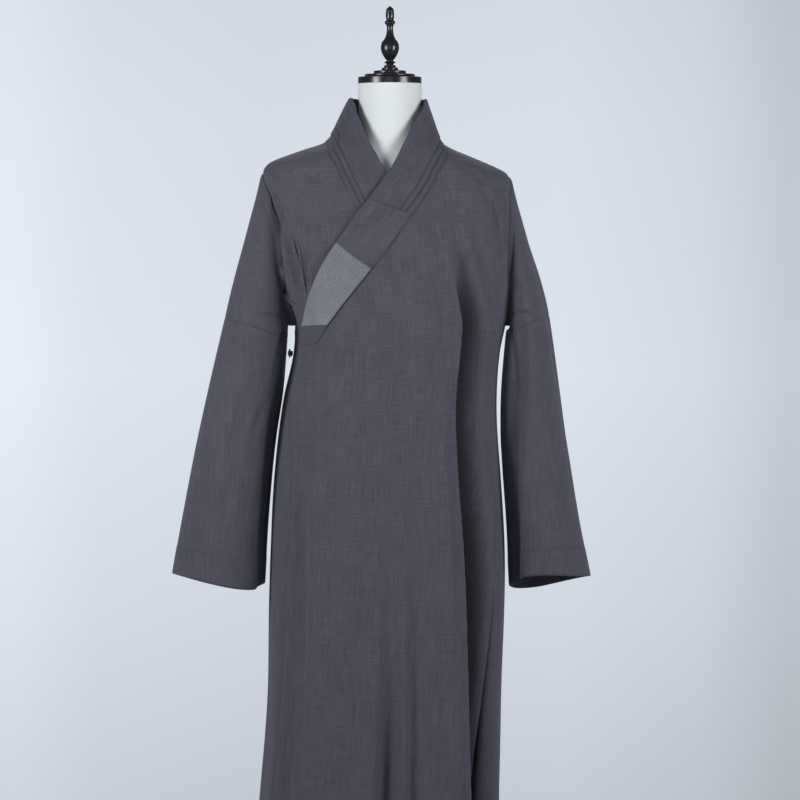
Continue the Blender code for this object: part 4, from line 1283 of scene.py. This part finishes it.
# %% Patch stitches
STITCH_COLUMNS = ("length", "gap", "radius")
PATCH_ROWS = 53
PATCH_SPAN = (0.022, 0.945)             # first and last row, in collar widths
PATCH_STITCH = (0.0021, 0.0010, 0.00042)
runs = []
for row in range(PATCH_ROWS):
    t = mix(*PATCH_SPAN, row / (PATCH_ROWS - 1))
    line, out = band_line(PATCH_ENDS[0] + 0.04, PATCH_ENDS[1] - 0.04, t, overlay_top, 200)
    runs.append(stitch_run(line, out, *PATCH_STITCH, shift=0.5 * (row % 2)))
patch_stitches = add_stitches("patch_stitches", runs, patch_thread)

# %% Collar stitches
SEWN = (0.0026, 0.0010, 0.00028)
FROM_ENDS = 0.05                        # stations left free at either end of a line
COLLAR_TOP = COLLAR_LIFT + COLLAR_CLOTH / 2
LINE_COLUMNS = ("first station", "last station", "widths from the free edge", "lift")
LINES = (
    (FIRST_STATION, PATCH_ENDS[0], 0.955, COLLAR_TOP),
    (PATCH_ENDS[1], GUARD_ENDS[0], 0.955, COLLAR_TOP),
    (FIRST_STATION, PATCH_ENDS[0], 0.90, COLLAR_TOP),
    *((*GUARD_ENDS, t, overlay_top) for t in GUARD_STITCHES),
)
runs = []
for first, last, t, lift in LINES:
    line, out = band_line(first + FROM_ENDS, last - FROM_ENDS, t, lift)
    runs.append(stitch_run(line, out, *SEWN))
across = np.linspace(0.03, GUARD_STITCHES[1], 60)
line, out = band_points(np.full(60, GUARD_ENDS[0] + 0.07), across, overlay_top)
runs.append(stitch_run(line, out, *SEWN))
collar_stitches = add_stitches("collar_stitches", runs, dark_thread)

# %% [markdown]
# The hem is turned up 25 mm and the cuffs 50 mm; one row of stitches holds each. The free
# edge of the over front and the edges of the slits are turned in 12 mm.

# %% Hem, slit and cuff stitches
HEM_TURN = 0.025
EDGE_TURN = 0.012
HALF_WIDTH = 0.19                       # of the body, to turn metres into degrees
HEM_STITCH = (0.0030, 0.0014, 0.00028)
HEM_SPANS = ((-61, 62), (67, 267))      # bearings between the slits
EDGE_TOP = 0.98
runs = []


def body_run(bearing, height):
    line, out = cloth_point(bearing, height, CLOTH / 2)
    runs.append(stitch_run(line, out, *HEM_STITCH))


hem_height = np.full(600, HEM + HEM_TURN)
for span in HEM_SPANS:
    body_run(np.linspace(*span, 600), hem_height)
up_edge = np.linspace(HEM + 0.004, EDGE_TOP, 500)
turn_degrees = np.degrees(EDGE_TURN / HALF_WIDTH)
body_run(read_smoothly(free_edge, up_edge)[0] + turn_degrees, up_edge)
up_slit = np.linspace(HEM + 0.004, SLIT_TOP, 300)
seam_left = read_smoothly(SEAM_LINE_LEFT, up_slit)[0]
for centre, shift in ((seam_left, turn_degrees), (seam_left, -turn_degrees),
                      (np.full(300, 270.0), -turn_degrees)):
    body_run(centre + shift, up_slit)
for side in (LEFT, RIGHT):
    ring = 0 * CUFF_ANGLE + CUFF_STITCH_RING
    line = sleeve_point(side, CUFF_ANGLE, ring, CLOTH / 2)
    out = line - sleeve_point(side, CUFF_ANGLE, ring, -0.01)
    out /= np.linalg.norm(out, axis=-1, keepdims=True)
    runs.append(stitch_run(line, out, *HEM_STITCH))
hem_stitches = add_stitches("hem_stitches", runs, dark_thread)

# %% [markdown]
# ## Knot button and loop
#
# The button is a ball of knotted cord and the loop a plain cord round it. The knot is a
# turk's head: one cord that swings between two latitudes while it goes round the ball,
# passing over and under itself.

# %% Knot button
KNOT_BEARING = -83.0
KNOT_HEIGHT = 1.0330
KNOT_RADIUS = 0.0045
KNOT_LIFT = 0.0072
KNOT_TURNS = 4
KNOT_SWINGS = 3
CORD = 0.0011
LOOP_CORD = 0.0014
KNOT_WAVE = 0.14                        # how far the cord swings in and out, in radii
KNOT_LATITUDE = 58
LOOP_SPAN = (-80, 260)
LOOP_CLEARANCE = 0.0009
LOOP_OFFSET = -0.0012


def add_cord(name, points, radius, closed, nodes):
    curve = bpy.data.curves.new(name, "CURVE")
    curve.dimensions = "3D"
    curve.bevel_depth = radius
    curve.bevel_resolution = 3
    curve.use_fill_caps = True
    spline = curve.splines.new("POLY")
    spline.points.add(len(points) - 1)
    spline.use_cyclic_u = closed
    for control, point in zip(spline.points, points):
        control.co = (*point, 1)
    return add_piece(name, curve, cord_cloth, nodes)


centre = cloth_point(np.array([KNOT_BEARING]), np.array([KNOT_HEIGHT]), KNOT_LIFT)[0][0]
turn = np.linspace(0, 2 * np.pi * KNOT_TURNS, 240, endpoint=False)
swing = turn * KNOT_SWINGS / KNOT_TURNS
reach = KNOT_RADIUS * (1 - KNOT_WAVE + KNOT_WAVE * np.sin(2 * swing))
rise = np.radians(KNOT_LATITUDE) * np.sin(swing)
knot_line = centre + np.stack([reach * np.sin(rise), reach * np.cos(rise) * np.cos(turn),
                               reach * np.cos(rise) * np.sin(turn)], axis=1)
add_cord("knot_button_cord", knot_line, CORD, True, ["knot_button"])
angle = np.radians(np.linspace(*LOOP_SPAN, 40))
loop_reach = KNOT_RADIUS + LOOP_CORD + LOOP_CLEARANCE
loop_line = centre + np.stack([LOOP_OFFSET + 0 * angle, np.cos(angle) * loop_reach,
                               np.sin(angle) * loop_reach], axis=1)
add_cord("button_loop_cord", loop_line, LOOP_CORD, False, ["button_loop"])
print("knot button at", np.round(centre, 3))

# %% [markdown]
# ## Dress form, cap and stand
#
# The form is a limbless torso, lofted from the same kind of table and turned smooth. Cap,
# finial, socket, pole and base are turned on a lathe: a profile swept round the axis, its
# corners rounded by splitting them into short arcs.

# %% Dress form
FORM_COLUMNS = ("height", "half width", "front", "back")
FORM = (
    (0.8000, 0.118, 0.080, 0.082),
    (0.8080, 0.136, 0.093, 0.096),
    (0.8300, 0.147, 0.100, 0.104),
    (0.8700, 0.151, 0.102, 0.106),
    (0.9400, 0.144, 0.098, 0.099),
    (1.0100, 0.138, 0.096, 0.093),
    (1.0800, 0.146, 0.100, 0.094),
    (1.1500, 0.157, 0.104, 0.097),
    (1.2150, 0.165, 0.102, 0.098),
    (1.2700, 0.171, 0.096, 0.096),
    (1.3100, 0.172, 0.088, 0.090),
    (1.3360, 0.163, 0.080, 0.083),
    (1.3540, 0.143, 0.074, 0.077),
    (1.3680, 0.115, 0.069, 0.072),
    (1.3820, 0.087, 0.064, 0.067),
    (1.4000, 0.067, 0.0595, 0.0610),
    (1.4250, 0.0585, 0.0565, 0.0575),
    (1.4600, 0.0558, 0.0555, 0.0558),
    (1.5060, 0.0555, 0.0552, 0.0555),
)
FORM_SIDES = 96


def close_rings(name, rings, material, nodes):
    """A solid piece from rings of points, closed at both ends."""
    count, sides = rings.shape[:2]
    index = np.arange(count * sides).reshape(count, sides)
    beside = np.roll(index, -1, axis=1)
    quads = np.stack([index[:-1], beside[:-1], beside[1:], index[1:]], axis=-1).reshape(-1, 4)
    faces = quads.tolist() + [index[0][::-1].tolist(), index[-1].tolist()]
    mesh = bpy.data.meshes.new(name)
    mesh.from_pydata(rings.reshape(-1, 3).tolist(), [], faces)
    mesh.shade_smooth()
    mesh.set_sharp_from_angle(angle=np.radians(50))
    print(f"{name}: {len(faces)} faces")
    return add_piece(name, mesh, material, nodes)


heights = np.concatenate([np.linspace(a[0], b[0], 7)[:-1] for a, b in zip(FORM, FORM[1:])]
                         + [[FORM[-1][0]]])
half, front, back_depth = read_smoothly(FORM, heights)[..., None]
turn = np.arange(FORM_SIDES) * 2 * np.pi / FORM_SIDES
depth = np.where(np.cos(turn) > 0, front, back_depth)
radius = 1 / np.hypot(np.sin(turn) / half, np.cos(turn) / depth)
rings = np.stack([radius * np.sin(turn), -radius * np.cos(turn),
                  heights[:, None] + 0 * radius], axis=-1)
close_rings("form_torso_cover", rings, form_cover, ["form_torso"])

# %% Turned pieces
CAP_PROFILE = (
    (0.0560, 1.5063), (0.0560, 1.5175), (0.0445, 1.5190), (0.0445, 1.5225),
    (0.0285, 1.5235), (0.0285, 1.5285), (0.0145, 1.5295), (0.0145, 1.5340),
)
FINIAL_PROFILE = (
    (0.0100, 1.5343), (0.0105, 1.5375), (0.0060, 1.5398), (0.0103, 1.5432), (0.0060, 1.5462),
    (0.0085, 1.5495), (0.0130, 1.5570), (0.0158, 1.5650), (0.0160, 1.5725), (0.0140, 1.5790),
    (0.0095, 1.5850), (0.0066, 1.5930), (0.0064, 1.6080), (0.0096, 1.6130), (0.0064, 1.6180),
    (0.0072, 1.6210), (0.0072, 1.6310), (0.0060, 1.6370), (0.0004, 1.6420),
)
BASE_RADIUS = 0.175
BASE_PROFILE = (
    (BASE_RADIUS, 0.0000), (BASE_RADIUS, 0.0060), (BASE_RADIUS - 0.006, 0.0100),
    (0.0300, 0.0160), (0.0220, 0.0300),
)
FORM_BOTTOM = FORM[0][0]
SOCKET_PROFILE = ((0.0280, FORM_BOTTOM - 0.0303), (0.0280, FORM_BOTTOM - 0.0003))
POLE_PROFILE = ((0.0125, 0.0303), (0.0125, FORM_BOTTOM - 0.0306))
TURNED_SIDES = 72


def rounded(profile, radius):
    """A profile with every inner corner cut into a short arc."""
    points = np.array(profile)
    line = [points[0]]
    for before, corner, after in zip(points, points[1:], points[2:]):
        reach = [min(radius, np.linalg.norm(p - corner) * 0.45) for p in (before, after)]
        start = corner + (before - corner) / np.linalg.norm(before - corner) * reach[0]
        end = corner + (after - corner) / np.linalg.norm(after - corner) * reach[1]
        for t in (0, 0.25, 0.5, 0.75, 1):
            line.append((1 - t) ** 2 * start + 2 * t * (1 - t) * corner + t**2 * end)
    return np.array(line + [points[-1]])


def lathe(name, profile, material, node_name):
    turn = np.arange(TURNED_SIDES) * 2 * np.pi / TURNED_SIDES
    radius = profile[:, :1]
    rings = np.stack([radius * np.cos(turn), radius * np.sin(turn),
                      profile[:, 1:] + 0 * turn], axis=-1)
    return close_rings(name, rings, material, [node_name])


def with_top(profile, inset):
    """Add a closing shoulder so that the last corner can be rounded too."""
    radius, height = profile[-1]
    return (*profile, (radius - inset, height))


finial_height = np.linspace(FINIAL_PROFILE[0][1], FINIAL_PROFILE[-1][1], 160)
finial_radius = read_smoothly([(z, r) for r, z in FINIAL_PROFILE], finial_height)[0]
lathe("finial_turned", np.stack([np.clip(finial_radius, 0.0004, None), finial_height], axis=1),
      black_lacquer, "finial")
TURNED_COLUMNS = ("name", "profile", "inset of the top", "corner radius", "material", "slot",
                  "solid")
TURNED = (
    ("neck_cap_turned", CAP_PROFILE, 0.004, 0.0012, black_lacquer, "black_lacquer", "neck_cap"),
    ("form_socket_turned", SOCKET_PROFILE, 0.004, 0.002, stand_steel, "stand_steel",
     "form_socket"),
    ("pole_tube", POLE_PROFILE, 0.003, 0.001, stand_steel, "stand_steel", "pole"),
    ("base_plate", BASE_PROFILE, 0.004, 0.003, stand_steel, "stand_steel", "base"),
)
for name, profile, inset, corner, material, slot, solid in TURNED:
    lathe(name, rounded(with_top(profile, inset), corner), material, solid)

# %% [markdown]
# ## The pieces made
#
# Each sheet of cloth printed the area of cloth in it when it was made. Panels and sleeves
# aren't rectangles; their flat area is that area of cloth, because woven cloth hardly
# stretches.

print("pieces:", len(made))

# %% Update the scene
bpy.context.view_layer.update()
